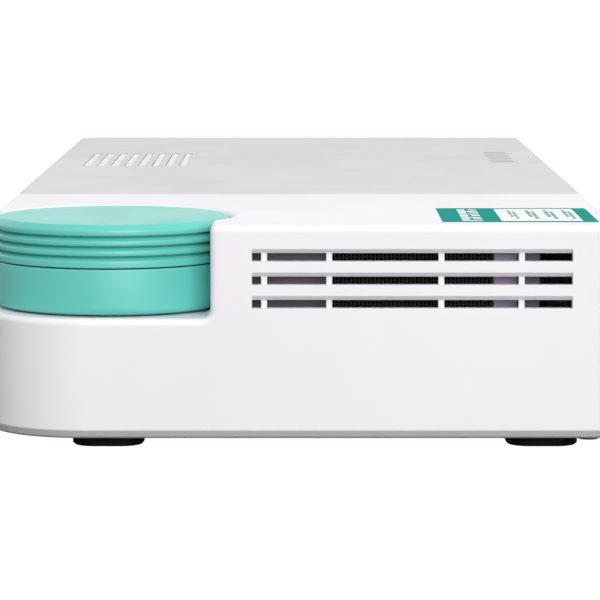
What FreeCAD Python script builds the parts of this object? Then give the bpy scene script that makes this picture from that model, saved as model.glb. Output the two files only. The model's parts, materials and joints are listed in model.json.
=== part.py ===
"""Flat desktop network attached storage: an assembly of separate pieces, in millimetres.

The part stands on its feet on Z = 0. X runs along the length, -Y is the front long face with
the two drive trays, +Y is the rear long face with the sockets, and the round teal drum sits in
the corner at -X, +Y. Every size is a cell of the sheet, and every piece is bound to those cells.
"""
import FreeCAD, Part
import os
import re

import Sketcher

# ---------------------------------------------------------------------------------------------
# Driving dimensions
# ---------------------------------------------------------------------------------------------

SIZES = {
    # housing
    "length": 290,
    "width": 127,
    "height": 45,
    "foot_height": 2.5,
    "foot_half": 7.2,
    "foot_corner_radius": 4.5,
    "foot_bevel": 0.4,
    "foot_end_gap": 12.3,
    "foot_front_y": -48.9,
    "foot_drum_y": 38.6,
    "base_thickness": 1.5,
    "base_chamfer": 0.3,
    "lip_height": 2.5,
    "lip_thickness": 1.2,
    "lip_gap": 0.2,
    "wall": 2,
    "edge_round": 1.3,
    "corner_radius": 3,
    "drum_corner_radius": 20,
    "panel_start": -65,
    "panel_thickness": 1.5,
    "panel_gap": 0.12,
    "roof": 2,
    "slot_start": 24.3,
    "slot_length": 50,
    "slot_width": 2,
    "slot_pitch": 3.46,
    "slot_first_y": 29.5,
    "slot_bar_drop": 0.25,
    "case_boss_radius": 3.2,
    "case_boss_x": 138.6,
    "case_boss_y": 58,
    "case_boss_middle_x": -67.5,
    "case_boss_drum_x": -132,
    "case_boss_drum_y": 52,
    "pilot_radius": 1.2,
    "label_start": -137.3,
    "label_end": -104,
    "label_front": -60,
    "label_rear": -28.65,
    "label_thickness": 0.1,
    # end vents
    "vent_front": -54.1,
    "vent_rear": 9.4,
    "vent_row_top": 39.46,
    "vent_row_pitch": 4.67,
    "vent_slit": 1.6,
    "vent_bevel": 0.83,
    "vent_rib": 1.17,
    # drum
    "drum_x": -118.85,
    "drum_y": 38.47,
    "drum_radius": 24.35,
    "drum_gap": 0.3,
    "drum_wall": 2.5,
    "drum_top_drop": 0.15,
    "drum_bevel_width": 1,
    "drum_bevel_height": 1.2,
    "drum_ring_pitch": 2,
    "drum_first_ring": 2.2,
    "drum_undercut": 1.3,
    "drum_slope": 0.8,
    "drum_seam_height": 36,
    "drum_seam_thickness": 0.3,
    "drum_seam_recess": 0.6,
    "drum_lift": 0.4,
    "drum_foot_inset": 4,
    "drum_bottom_round": 1.4,
    "drum_screw_circle": 13,
    "ledge_height": 26.4,
    "notch_inset": 20.8,
    "notch_side_reach": 10.35,
    "notch_cove": 1.8,
    # drive bays
    "bay_first_x": -24,
    "bay_pitch": 78,
    "bay_half": 38,
    "bay_low": 24.3,
    "bay_high": 40.3,
    "bezel_gap": 0.4,
    "bezel_depth": 6,
    "tray_floor": 25.2,
    "tray_thickness": 1.2,
    "tray_half": 37,
    "tray_rail": 1,
    "tray_rail_height": 8,
    "drive_width": 69.85,
    "drive_length": 100,
    "drive_height": 9.5,
    "drive_lift": 0.4,
    "latch_pivot": 31,
    "latch_reach": 22,
    "latch_half_height": 5,
    "latch_thickness": 3,
    "latch_inset": 0.2,
    "latch_clearance": 0.35,
    "pin_radius": 0.6,
    "pin_clearance": 0.05,
    "cage_low": 23.7,
    "cage_sheet": 0.8,
    "cage_half": 79,
    "cage_centre": 15,
    "cage_front": -60.5,
    "cage_rear": 45,
    "backplane_y": 48,
    "board_sheet": 1.6,
    # mainboard
    "board_left": -62,
    "board_right": 131,
    "board_front": -52,
    "board_rear": 59,
    "board_low": 8,
    "board_hole": 1.6,
    # blower
    "blower_front": -48,
    "blower_rear": 10,
    "blower_left": -139,
    "blower_right": -79,
    "blower_low": 25,
    "blower_high": 39.4,
    "blower_wall": 1.5,
    "blower_x": -107,
    "blower_y": -19,
    "blower_scroll": 26,
    "blower_mouth_front": -38.6,
    "blower_mouth_rear": -6,
    "rotor_radius": 23,
    "rotor_hub": 9,
    "rotor_blades": 26,
    # sockets and buttons
    "socket_face": 62.9,
    "button_x": 122,
    "button_height": 31,
    "button_radius": 5,
    "button_play": 0.3,
    "copy_x": 106,
    "copy_radius": 3,
    "front_board_y": -55.5,
    "front_board_left": 96,
    "front_board_right": 132,
    "plunger_radius": 1.7,
}

BAYS = (1, 2)

doc = FreeCAD.newDocument("FlatNas")
sheet = doc.addObject("Spreadsheet::Sheet", "Sizes")
for row, (alias, value) in enumerate(SIZES.items(), start=1):
    sheet.set(f"A{row}", alias)
    sheet.set(f"B{row}", str(value))
    sheet.setAlias(f"B{row}", alias)
doc.recompute()

PIECES = []
ALIAS = re.compile(r"[a-z_]+")
TURN_TO = {
    "x": FreeCAD.Rotation(FreeCAD.Vector(0, 1, 0), 90),
    "y": FreeCAD.Rotation(FreeCAD.Vector(1, 0, 0), -90),
    "z": FreeCAD.Rotation(),
}
BEYOND = "10"
# a sketch holds a distance of nought by a length too small to see
ON_AXIS = "0.0001"

# Levels and places that follow from the driving dimensions
SHELL_LOW = "foot_height + base_thickness"
PANEL_LOW = "height - panel_thickness"
CEILING = "height - panel_thickness - roof"
DRUM_TOP = "height - drum_top_drop"
DRUM_LOW = "ledge_height + drum_lift"
CAP_LOW = "drum_seam_height + drum_seam_thickness"
DRUM_INNER = "drum_radius - drum_wall"
BOARD_TOP = "board_low + board_sheet"
DRIVE_LOW = "tray_floor + tray_thickness + drive_lift"
BEZEL_BACK = "-width / 2 + bezel_depth"


# ---------------------------------------------------------------------------------------------
# Helpers
# ---------------------------------------------------------------------------------------------

def bind(item, path, formula):
    """Bind one property of an object to a formula written with the sheet's aliases."""
    text = ALIAS.sub(lambda word: "Sizes." + word.group(0) if word.group(0) in SIZES else word.group(0),
                     str(formula))
    item.setExpression(path, text)


def place(item, x, y, z, axis="z"):
    """Put an object at a point given by formulas, with its own Z turned to an axis."""
    item.Placement.Rotation = TURN_TO[axis]
    for name, formula in zip("xyz", (x, y, z)):
        bind(item, "Placement.Base." + name, formula)
    return item


def minus(high, low):
    return f"({high}) - ({low})"


def block(name, x, y, z):
    """A box between a low and a high formula along each axis."""
    item = doc.addObject("Part::Box", name)
    for side, (low, high) in zip(("Length", "Width", "Height"), (x, y, z)):
        bind(item, side, minus(high, low))
    return place(item, x[0], y[0], z[0])


def rod(name, axis, centre, radius, span):
    """A cylinder along an axis: centre holds the other two coordinates, span the two ends."""
    item = doc.addObject("Part::Cylinder", name)
    bind(item, "Radius", radius)
    bind(item, "Height", minus(span[1], span[0]))
    spot = list(centre)
    spot.insert("xyz".index(axis), span[0])
    return place(item, *spot, axis=axis)


def fuse(name, *items):
    item = doc.addObject("Part::MultiFuse", name)
    item.Shapes = list(items)
    return item


def cut(name, base, *tools):
    """The base with all the tools taken away."""
    item = doc.addObject("Part::Cut", name)
    item.Base = base
    item.Tool = tools[0] if len(tools) == 1 else fuse(name + "_tools", *tools)
    return item


def common(name, base, tool):
    item = doc.addObject("Part::Common", name)
    item.Base = base
    item.Tool = tool
    return item


def group(name, items):
    """Separate solids that share one node."""
    item = doc.addObject("Part::Compound", name)
    item.Links = list(items)
    return item


def piece(item, label):
    """Register a finished sub-part under the name of its file."""
    item.Label = label
    PIECES.append(item)
    return item


def around(centre, half):
    """The span of a formula's centre and half width."""
    return f"({centre}) - ({half})", f"({centre}) + ({half})"


# Sketches -------------------------------------------------------------------------------------

def new_sketch(body, role, name, offset=None):
    """A sketch on one of the body's own origin planes, lifted off it by a formula."""
    sketch = body.newObject("Sketcher::SketchObject", name)
    plane = [item for item in body.Origin.OriginFeatures if item.Role == role][0]
    sketch.AttachmentSupport = [(plane, "")]
    sketch.MapMode = "FlatFace"
    if offset is not None:
        bind(sketch, "AttachmentOffset.Base.z", offset)
    return sketch


def hold(sketch, kind, place_of, formula):
    """Add a dimension to a sketch at its present value, and bind it to a formula."""
    if kind == "Radius":
        now = sketch.Geometry[place_of[0]].Radius
    else:
        point = sketch.getPoint(*place_of[2:])
        now = point.x if kind == "DistanceX" else point.y
    number = sketch.addConstraint(Sketcher.Constraint(kind, *place_of, now))
    name = f"size_{number}"
    sketch.renameConstraint(number, name)
    bind(sketch, "Constraints." + name, formula)


def hold_point(sketch, geometry, end, x, y):
    hold(sketch, "DistanceX", (-1, 1, geometry, end), x)
    hold(sketch, "DistanceY", (-1, 1, geometry, end), y)


def polygon(sketch, points):
    """A closed outline of straight lines through points given by formulas."""
    first = sketch.GeometryCount
    count = len(points)
    for number in range(count):
        start = FreeCAD.Vector(number, number * number, 0)
        end = FreeCAD.Vector(number + 1, (number + 1) * (number + 1), 0)
        sketch.addGeometry(Part.LineSegment(start, end), False)
    for number in range(count):
        following = first + (number + 1) % count
        sketch.addConstraint(Sketcher.Constraint("Coincident", first + number, 2, following, 1))
    for number, (x, y) in enumerate(points):
        hold_point(sketch, first + number, 1, x, y)


def circle(sketch, x, y, radius):
    number = sketch.addGeometry(Part.Circle(FreeCAD.Vector(1, 1, 0), FreeCAD.Vector(0, 0, 1), 1), False)
    hold_point(sketch, number, 3, x, y)
    hold(sketch, "Radius", (number,), radius)


def oblong(name, x_span, y, half_width, z_span):
    """An upright oblong with round ends, long along X."""
    low, high = x_span
    ends = [rod(f"{name}_end_{number}", "z", (x, y), half_width, z_span)
            for number, x in enumerate((f"{low} + {half_width}", f"{high} - {half_width}"))]
    middle = block(name + "_middle", (f"{low} + {half_width}", f"{high} - {half_width}"),
                   around(y, half_width), z_span)
    return fuse(name, middle, *ends)


def prism(name, axis, points, span):
    """A straight bar whose cross-section is a polygon, between two formulas along X or Y.

    The points are (Y, Z) for a bar along X and (X, Z) for a bar along Y.
    """
    body = doc.addObject("PartDesign::Body", name)
    role = {"x": "YZ_Plane", "y": "XZ_Plane"}[axis]
    sketch = new_sketch(body, role, name + "_section")
    polygon(sketch, points)
    pad = body.newObject("PartDesign::Pad", name + "_pad")
    pad.Profile = sketch
    bind(pad, "Length", minus(span[1], span[0]))
    pad.Reversed = axis == "y"
    bind(body, "Placement.Base." + axis, span[0])
    return body


def turned(name, points, x="0", y="0"):
    """A body of revolution about a vertical axis through (x, y); points are (radius, height)."""
    body = doc.addObject("PartDesign::Body", name)
    sketch = new_sketch(body, "XZ_Plane", name + "_section")
    polygon(sketch, points)
    spin = body.newObject("PartDesign::Revolution", name + "_turn")
    spin.Profile = sketch
    spin.ReferenceAxis = (sketch, ["V_Axis"])
    spin.Angle = 360
    bind(body, "Placement.Base.x", x)
    bind(body, "Placement.Base.y", y)
    return body


def outline_body(name, inset, low, high):
    """A slab with the housing's plan outline, moved inwards by inset: one corner is round and large."""
    body = doc.addObject("PartDesign::Body", name)
    sketch = new_sketch(body, "XY_Plane", name + "_plan")
    half_x, half_y = SIZES["length"] / 2, SIZES["width"] / 2
    small, large = SIZES["corner_radius"], SIZES["drum_corner_radius"]
    corners = ((1, -1, small, -90), (1, 1, small, 0), (-1, 1, large, 90), (-1, -1, small, 180))
    arcs = []
    for side_x, side_y, radius, start in corners:
        centre = FreeCAD.Vector(side_x * (half_x - radius), side_y * (half_y - radius), 0)
        ring = Part.Circle(centre, FreeCAD.Vector(0, 0, 1), radius)
        begin = FreeCAD.Units.Quantity(f"{start} deg").getValueAs("rad").Value
        end = FreeCAD.Units.Quantity(f"{start + 90} deg").getValueAs("rad").Value
        arcs.append(sketch.addGeometry(Part.ArcOfCircle(ring, begin, end), False))
    lines = []
    for number, arc in enumerate(arcs):
        following = arcs[(number + 1) % len(arcs)]
        start = sketch.getPoint(arc, 2)
        end = sketch.getPoint(following, 1)
        lines.append(sketch.addGeometry(Part.LineSegment(start, end), False))
    for number, line in enumerate(lines):
        following = arcs[(number + 1) % len(arcs)]
        sketch.addConstraint(Sketcher.Constraint("Tangent", arcs[number], 2, line, 1))
        sketch.addConstraint(Sketcher.Constraint("Tangent", line, 2, following, 1))
        direction = "Vertical" if number % 2 == 0 else "Horizontal"
        sketch.addConstraint(Sketcher.Constraint(direction, line))
    hold(sketch, "DistanceX", (-1, 1, lines[0], 1), f"length / 2 - ({inset})")
    hold(sketch, "DistanceY", (-1, 1, lines[1], 1), f"width / 2 - ({inset})")
    hold(sketch, "DistanceX", (-1, 1, lines[2], 1), f"-length / 2 + ({inset})")
    hold(sketch, "DistanceY", (-1, 1, lines[3], 1), f"-width / 2 + ({inset})")
    for arc, corner in zip(arcs, corners):
        if corner[2] == large:
            radius = f"drum_corner_radius - ({inset})"
        else:
            radius = f"corner_radius - ({inset}) * 0.8"
        hold(sketch, "Radius", (arc,), radius)
    pad = body.newObject("PartDesign::Pad", name + "_pad")
    pad.Profile = sketch
    bind(pad, "Length", minus(high, low))
    bind(body, "Placement.Base.z", low)
    return body


def edges_where(feature, test):
    """A feature and the names of its edges that pass a test, as a rounding takes them."""
    edges = enumerate(feature.Shape.Edges, start=1)
    return feature, [f"Edge{number}" for number, edge in edges if test(edge)]


def lies(edge, x=None, y=None, z=None):
    """Whether a whole edge lies in the planes given by their places along each axis."""
    box = edge.BoundBox
    spans = ((x, box.XMin, box.XMax), (y, box.YMin, box.YMax), (z, box.ZMin, box.ZMax))
    held = [span for span in spans if span[0] is not None]
    return all(max(abs(low - level), abs(high - level)) < 0.01 for level, low, high in held)


def dress(body, kind, size, test):
    """Round or chamfer those edges of a body's last feature that pass a test."""
    doc.recompute()
    chosen = edges_where(body.Tip, test)
    dressing = body.newObject("PartDesign::" + kind, f"{body.Name}_{kind.lower()}_{len(body.Group)}")
    dressing.Base = chosen
    bind(dressing, "Radius" if kind == "Fillet" else "Size", size)
    body.Tip = dressing
    return body


def dress_level(body, kind, size, level):
    """Round or chamfer the edges of a body that lie at its top or bottom level."""
    doc.recompute()
    box = body.Tip.Shape.BoundBox
    flat = box.ZMax if level == "top" else box.ZMin
    return dress(body, kind, size, lambda edge: lies(edge, z=flat))


def screws(label, axis, spots, head_radius, head_span, shank_radius, shank_span):
    """A group of equal round-headed screws: spots hold the two coordinates across the axis."""
    made = []
    for number, spot in enumerate(spots, start=1):
        name = f"{label}_{number}"
        head = rod(name + "_head", axis, spot, head_radius, head_span)
        shank = rod(name + "_shank", axis, spot, shank_radius, shank_span)
        made.append(fuse(name, head, shank))
    return piece(group(label + "_group", made), label)


# ---------------------------------------------------------------------------------------------
# Housing
# ---------------------------------------------------------------------------------------------

def notch(name, clearance, low, high):
    """The drum's recess: a round well whose outer corner is open to both side faces."""
    well = rod(name + "_round", "z", ("drum_x", "drum_y"), f"drum_radius + drum_gap + {clearance}",
               (low, high))
    end_way = block(name + "_end_way", (f"-length / 2 - {BEYOND}", "drum_x"),
                    (f"drum_y - notch_inset - {clearance}", f"width / 2 + {BEYOND}"), (low, high))
    side_way = block(name + "_side_way",
                     (f"-length / 2 - {BEYOND}", f"drum_x + notch_side_reach + {clearance}"),
                     ("drum_y", f"width / 2 + {BEYOND}"), (low, high))
    return fuse(name, well, end_way, side_way)


def notched_outside():
    """The shell's outside as one block: the notch sunk in its corner, then every outer edge rounded."""
    body = outline_body("shell_outside", "0", SHELL_LOW, "height")
    plan = new_sketch(body, "XY_Plane", "notch_plan", minus("height", SHELL_LOW))
    across, side_reach = SIZES["notch_inset"], SIZES["notch_side_reach"]
    radius = SIZES["drum_radius"] + SIZES["drum_gap"]
    centre = FreeCAD.Vector(SIZES["drum_x"], SIZES["drum_y"], 0)
    first = centre + FreeCAD.Vector(-(radius ** 2 - across ** 2) ** 0.5, -across, 0)
    last = centre + FreeCAD.Vector(side_reach, (radius ** 2 - side_reach ** 2) ** 0.5, 0)
    halfway = centre + FreeCAD.Vector(radius, -radius, 0) / 2 ** 0.5
    far_corner = FreeCAD.Vector(-SIZES["length"], SIZES["width"], 0)
    end_corner = FreeCAD.Vector(far_corner.x, first.y, 0)
    side_corner = FreeCAD.Vector(last.x, far_corner.y, 0)
    plan.addGeometry(Part.Arc(first, halfway, last), False)
    for start, end in ((end_corner, first), (last, side_corner), (side_corner, far_corner),
                       (far_corner, end_corner)):
        plan.addGeometry(Part.LineSegment(start, end), False)
    for pair in ((1, 2, 0, 1), (0, 2, 2, 1), (2, 2, 3, 1), (3, 2, 4, 1), (4, 2, 1, 1)):
        plan.addConstraint(Sketcher.Constraint("Coincident", *pair))
    for line, direction in ((1, "Horizontal"), (2, "Vertical"), (3, "Horizontal"), (4, "Vertical")):
        plan.addConstraint(Sketcher.Constraint(direction, line))
    hold_point(plan, 0, 3, "drum_x", "drum_y")
    hold(plan, "Radius", (0,), "drum_radius + drum_gap")
    hold(plan, "DistanceY", (-1, 1, 1, 1), "drum_y - notch_inset")
    hold(plan, "DistanceX", (-1, 1, 2, 2), "drum_x + notch_side_reach")
    hold_point(plan, 3, 2, "-length", "width")
    sink = body.newObject("PartDesign::Pocket", "notch_pocket")
    sink.Profile = plan
    bind(sink, "Length", "height - ledge_height")
    body.Tip = sink
    doc.recompute()

    ledge = SIZES["ledge_height"] - SIZES["foot_height"] - SIZES["base_thickness"]
    top = SIZES["height"] - SIZES["foot_height"] - SIZES["base_thickness"]
    half_x, half_y = SIZES["length"] / 2, SIZES["width"] / 2
    end_wall = SIZES["drum_y"] - SIZES["notch_inset"]
    side_wall = SIZES["drum_x"] + SIZES["notch_side_reach"]

    def is_hollow(edge):
        """The inner corners between the floor of the notch and its two flat walls."""
        return lies(edge, y=end_wall, z=ledge) or lies(edge, x=side_wall, z=ledge)

    big_round = SIZES["drum_corner_radius"]
    round_centre = FreeCAD.Vector(big_round - half_x, half_y - big_round, ledge)

    def is_outer(edge):
        """Every edge of the top, and those above the floor of the notch that lie on the outline."""
        middle = edge.valueAt((edge.FirstParameter + edge.LastParameter) / 2)
        on_big_round = lies(edge, z=ledge) and abs(middle.distanceToPoint(round_centre) - big_round) < 0.01
        on_flat_side = lies(edge, x=-half_x) or lies(edge, y=half_y)
        return lies(edge, z=top) or on_big_round or (on_flat_side and edge.BoundBox.ZMin > ledge - 0.01)

    dress(body, "Fillet", "notch_cove", is_hollow)
    dress(body, "Fillet", "edge_round", is_outer)
    return body


def vent_rows(name, side):
    """Cutting tools for three bevelled vent rows in one end wall: side is -1 or 1."""
    face = f"{side} * length / 2"
    groove = f"{side} * (length / 2 - vent_bevel)"
    inside = f"{side} * (length / 2 - wall - 1)"
    across = (face, inside) if side < 0 else (inside, face)
    # the ribs stand at these shares of the row, from the rear end
    edges = ["vent_rear"]
    for share in (0.0375, 0.2409, 0.5910, 0.8420):
        centre = f"vent_rear - {share} * (vent_rear - vent_front)"
        edges += [f"{centre} + vent_rib / 2", f"{centre} - vent_rib / 2"]
    edges.append("vent_front")
    tools = []
    for row in range(3):
        top = f"vent_row_top - {row} * vent_row_pitch"
        low = f"{top} - vent_slit"
        section = [(face, low), (groove, low), (groove, top), (face, f"{top} + vent_bevel")]
        tools.append(prism(f"{name}_groove_{row}", "y", section, ("vent_front", "vent_rear")))
        for number in range(0, len(edges), 2):
            tools.append(block(f"{name}_slit_{row}_{number}", across, (edges[number + 1], edges[number]),
                               (low, top)))
    return tools


def case_boss_spots():
    """The six case screws: two at each end and two beside the drive cage."""
    spots = [("-case_boss_x", "-case_boss_y"), ("case_boss_drum_x", "case_boss_drum_y")]
    for x in ("case_boss_middle_x", "case_boss_x"):
        spots += [(x, "-case_boss_y"), (x, "case_boss_y")]
    return spots


def socket_spans():
    """Each rear socket's name with its centre along X, half width and height above the board."""
    return {
        "dc_inlet": ("117", "4.7", "10.6"),
        "lan_jack_1": ("101", "8", "13.3"),
        "lan_jack_2": ("82", "8", "13.3"),
        "usb_rear_port": ("62", "7.2", "7"),
        "video_port": ("42", "7.6", "6"),
    }


def slot_bars(name, half_width, z_span):
    """The eight oblongs of the top grille: its slots, or the bars that stand in them."""
    span = ("slot_start", "slot_start + slot_length")
    return [oblong(f"{name}_{number}", span, f"slot_first_y + {number} * slot_pitch", half_width, z_span)
            for number in range(8)]


def make_upper_shell():
    shell = notched_outside()
    hollow = outline_body("shell_inside", "wall", f"{SHELL_LOW} - 1", CEILING)
    hollow = cut("shell_hollow", hollow,
                 notch("shell_well", "wall", "ledge_height - wall", f"height + {BEYOND}"))
    tools = [hollow]
    tools.append(block("shell_panel_seat", ("panel_start", f"length / 2 + {BEYOND}"),
                       (f"-width / 2 - {BEYOND}", f"width / 2 + {BEYOND}"),
                       (PANEL_LOW, f"height + {BEYOND}")))
    tools += vent_rows("end_vent", -1) + vent_rows("far_vent", 1)
    front = (f"-width / 2 - {BEYOND}", "-width / 2 + wall + 1")
    rear = ("width / 2 - wall - 1", f"width / 2 + {BEYOND}")
    for bay in BAYS:
        centre = f"bay_first_x + {bay - 1} * bay_pitch"
        tools.append(block(f"shell_bay_{bay}", around(centre, "bay_half"), front, ("bay_low", "bay_high")))
    for name, (centre, half, tall) in socket_spans().items():
        tools.append(block("shell_for_" + name, around(centre, f"{half} + 0.4"), rear,
                           (f"{BOARD_TOP} - 0.4", f"{BOARD_TOP} + {tall} + 0.4")))
    tools.append(block("shell_for_usb_front", around("114", "7.6"), front,
                       (f"{BOARD_TOP} - 0.4", f"{BOARD_TOP} + 7.4")))
    tools.append(rod("shell_for_power", "y", ("button_x", "button_height"), "button_radius + button_play",
                     front))
    tools.append(rod("shell_for_copy", "y", ("copy_x", "button_height"), "copy_radius + button_play",
                     front))
    tools.append(rod("shell_for_reset", "y", ("24", "14.6"), "1.3", rear))
    for number in range(4):
        tools.append(rod(f"shell_for_light_{number}", "y", (f"102.5 + {number} * 4", "22.5"), "1", front))
    walls = cut("shell_walls", shell, *tools)
    parts = [walls] + slot_bars("shell_bar", "slot_width / 2 - panel_gap",
                                (f"{PANEL_LOW} - 0.5", "height - slot_bar_drop"))
    holes = [rod(f"ledge_hole_{number}", "z", spot, "1.4", ("ledge_height - wall - 1", "ledge_height + 1"))
             for number, spot in enumerate(drum_screw_spots())]
    for number, (x, y) in enumerate(case_boss_spots()):
        under_ledge = number == 1
        top = "ledge_height - wall" if under_ledge else CEILING
        parts.append(rod(f"case_boss_{number}", "z", (x, y), "case_boss_radius",
                         (SHELL_LOW, f"{top} + 0.5")))
        holes.append(rod(f"case_pilot_{number}", "z", (x, y), "pilot_radius",
                         (SHELL_LOW, f"{SHELL_LOW} + 14")))
    for number, (x, z) in enumerate((("front_board_left + 4", "37"), ("front_board_right - 3.2", "37"))):
        parts.append(rod(f"front_boss_{number}", "y", (x, z), "2.4",
                         ("-width / 2 + wall - 0.5", "front_board_y")))
        holes.append(rod(f"front_pilot_{number}", "y", (x, z), "0.9",
                         ("front_board_y - 4", "front_board_y")))
    return piece(cut("shell_final", fuse("shell_solid", *parts), *holes), "upper_shell")


def make_base_plate():
    plate = dress_level(outline_body("base_slab", "0", "foot_height", SHELL_LOW), "Chamfer", "base_chamfer",
                        "bottom")
    lip_outside = outline_body("lip_outside", "wall + lip_gap", f"{SHELL_LOW} - 0.5",
                               f"{SHELL_LOW} + lip_height")
    lip_inside = outline_body("lip_inside", "wall + lip_gap + lip_thickness", f"{SHELL_LOW} - 1",
                              f"{SHELL_LOW} + lip_height + 1")
    lip = cut("lip", lip_outside, lip_inside)
    room = [rod(f"lip_room_{number}", "z", spot, "case_boss_radius + 0.4", (SHELL_LOW, f"{SHELL_LOW} + 9"))
            for number, spot in enumerate(case_boss_spots())]
    parts = [plate, cut("lip_notched", lip, *room)]
    holes = []
    for number, spot in enumerate(blower_spots()):
        parts.append(rod(f"blower_post_{number}", "z", spot, "3", (f"{SHELL_LOW} - 0.5", "blower_low")))
        holes.append(rod(f"blower_pilot_{number}", "z", spot, "0.9", ("blower_low - 8", "blower_low")))
    for number, spot in enumerate(standoff_spots()):
        holes.append(rod(f"standoff_hole_{number}", "z", spot, "1.5",
                         ("foot_height - 1", f"{SHELL_LOW} + 1")))
    for number, spot in enumerate(case_boss_spots()):
        holes.append(rod(f"case_hole_{number}", "z", spot, "1.6", ("foot_height - 1", f"{SHELL_LOW} + 1")))
    for number in range(14):
        x = f"-126 + {number} * 5"
        holes.append(block(f"base_slit_{number}", around(x, "1.1"), ("-42", "4"),
                           ("foot_height - 1", f"{SHELL_LOW} + 1")))
    return piece(cut("base_final", fuse("base_solid", *parts), *holes), "base_plate")


def make_top_panel():
    slab = dress_level(outline_body("panel_slab", "0", PANEL_LOW, "height"), "Fillet", "edge_round", "top")
    kept = block("panel_kept", ("panel_start + panel_gap", f"length / 2 + {BEYOND}"),
                 (f"-width / 2 - {BEYOND}", f"width / 2 + {BEYOND}"), (PANEL_LOW, "height + 1"))
    slots = slot_bars("panel_slot", "slot_width / 2", (f"{PANEL_LOW} - 1", "height + 1"))
    return piece(cut("panel_final", common("panel_trim", slab, kept), *slots), "top_panel")


def make_label():
    label = block("label_block", ("label_start", "label_end"), ("label_front", "label_rear"),
                  ("height", "height + label_thickness"))
    return piece(label, "label_sticker")


def make_feet():
    """Four square rubber feet with round corners and a bevelled edge at the floor."""
    feet = []
    spots = []
    for side in ("-", ""):
        spots.append((f"{side}(length / 2 - foot_end_gap)", "foot_front_y"))
    spots.append(("-(length / 2 - foot_end_gap)", "foot_drum_y"))
    spots.append(("length / 2 - foot_end_gap", "-foot_front_y"))
    for number, (x, y) in enumerate(spots, start=1):
        foot = doc.addObject("PartDesign::Body", f"foot_{number}")
        plan = new_sketch(foot, "XY_Plane", f"foot_plan_{number}")
        corners = [(f"{x} + {along} * foot_half", f"{y} + {across} * foot_half")
                   for along, across in ((-1, -1), (1, -1), (1, 1), (-1, 1))]
        polygon(plan, corners)
        pad = foot.newObject("PartDesign::Pad", f"foot_pad_{number}")
        pad.Profile = plan
        bind(pad, "Length", "foot_height")
        foot.Tip = pad
        dress(foot, "Fillet", "foot_corner_radius", lambda edge: edge.BoundBox.ZLength > 1)
        feet.append(dress_level(foot, "Chamfer", "foot_bevel", "bottom"))
    return piece(group("feet_group", feet), "feet")


# ---------------------------------------------------------------------------------------------
# Drum
# ---------------------------------------------------------------------------------------------

def make_drum_cap():
    """The grooved teal cap: three saw-tooth grooves under a bevelled flat top."""
    outside = [("0", DRUM_TOP), ("drum_radius - drum_bevel_width", DRUM_TOP),
               ("drum_radius", f"{DRUM_TOP} - drum_bevel_height")]
    for ring in range(3):
        edge = f"{DRUM_TOP} - drum_first_ring - {ring} * drum_ring_pitch"
        outside += [("drum_radius", edge), ("drum_radius - drum_undercut", edge),
                    ("drum_radius", f"{edge} - drum_slope")]
    outside += [("drum_radius", CAP_LOW)]
    inside = [(DRUM_INNER, CAP_LOW), (DRUM_INNER, f"{DRUM_TOP} - drum_wall"),
              ("0", f"{DRUM_TOP} - drum_wall")]
    return piece(turned("cap_body", outside + inside, "drum_x", "drum_y"), "drum_cap")


def make_drum_seam():
    outer = rod("seam_outer", "z", ("drum_x", "drum_y"), "drum_radius - drum_seam_recess",
                ("drum_seam_height", CAP_LOW))
    inner = rod("seam_inner", "z", ("drum_x", "drum_y"), DRUM_INNER,
                ("drum_seam_height - 1", f"{CAP_LOW} + 1"))
    return piece(cut("seam_ring", outer, inner), "drum_seam")


def drum_screw_spots():
    reach = ("1", "0"), ("-0.5", "0.866"), ("-0.5", "-0.866")
    return [(f"drum_x + {x} * drum_screw_circle", f"drum_y + {y} * drum_screw_circle") for x, y in reach]


def make_drum_base():
    """The plain lower half: a cup that stands on a smaller foot ring and holds three screw bosses."""
    floor = f"{DRUM_LOW} + drum_wall"
    lip_radius = f"{DRUM_INNER} - 0.1"
    section = [("drum_radius - drum_foot_inset - 1.5", "ledge_height"),
               ("drum_radius - drum_foot_inset", "ledge_height"),
               ("drum_radius - drum_foot_inset", DRUM_LOW), ("drum_radius - drum_bottom_round", DRUM_LOW),
               ("drum_radius - drum_bottom_round * 0.3", f"{DRUM_LOW} + drum_bottom_round * 0.3"),
               ("drum_radius", f"{DRUM_LOW} + drum_bottom_round"), ("drum_radius", "drum_seam_height"),
               (lip_radius, "drum_seam_height"), (lip_radius, "drum_seam_height + 2.5"),
               (f"{lip_radius} - 1.2", "drum_seam_height + 2.5"), (f"{lip_radius} - 1.2", floor),
               ("0", floor), ("0", DRUM_LOW), ("drum_radius - drum_foot_inset - 1.5", DRUM_LOW)]
    cup = turned("drum_cup", section, "drum_x", "drum_y")
    bosses = [rod(f"drum_boss_{number}", "z", spot, "3", (DRUM_LOW, f"{floor} + 5"))
              for number, spot in enumerate(drum_screw_spots())]
    holes = [rod(f"drum_pilot_{number}", "z", spot, "1.1", (f"{DRUM_LOW} - 1", f"{floor} + 4"))
             for number, spot in enumerate(drum_screw_spots())]
    return piece(cut("drum_base_final", fuse("drum_base_solid", cup, *bosses), *holes), "drum_base")


# ---------------------------------------------------------------------------------------------
# Blower
# ---------------------------------------------------------------------------------------------

def blower_spots():
    """The blower's four corner screws."""
    return [(x, y) for x in ("blower_left + 4", "blower_right - 4")
            for y in ("blower_front + 4", "blower_rear - 4")]


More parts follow.
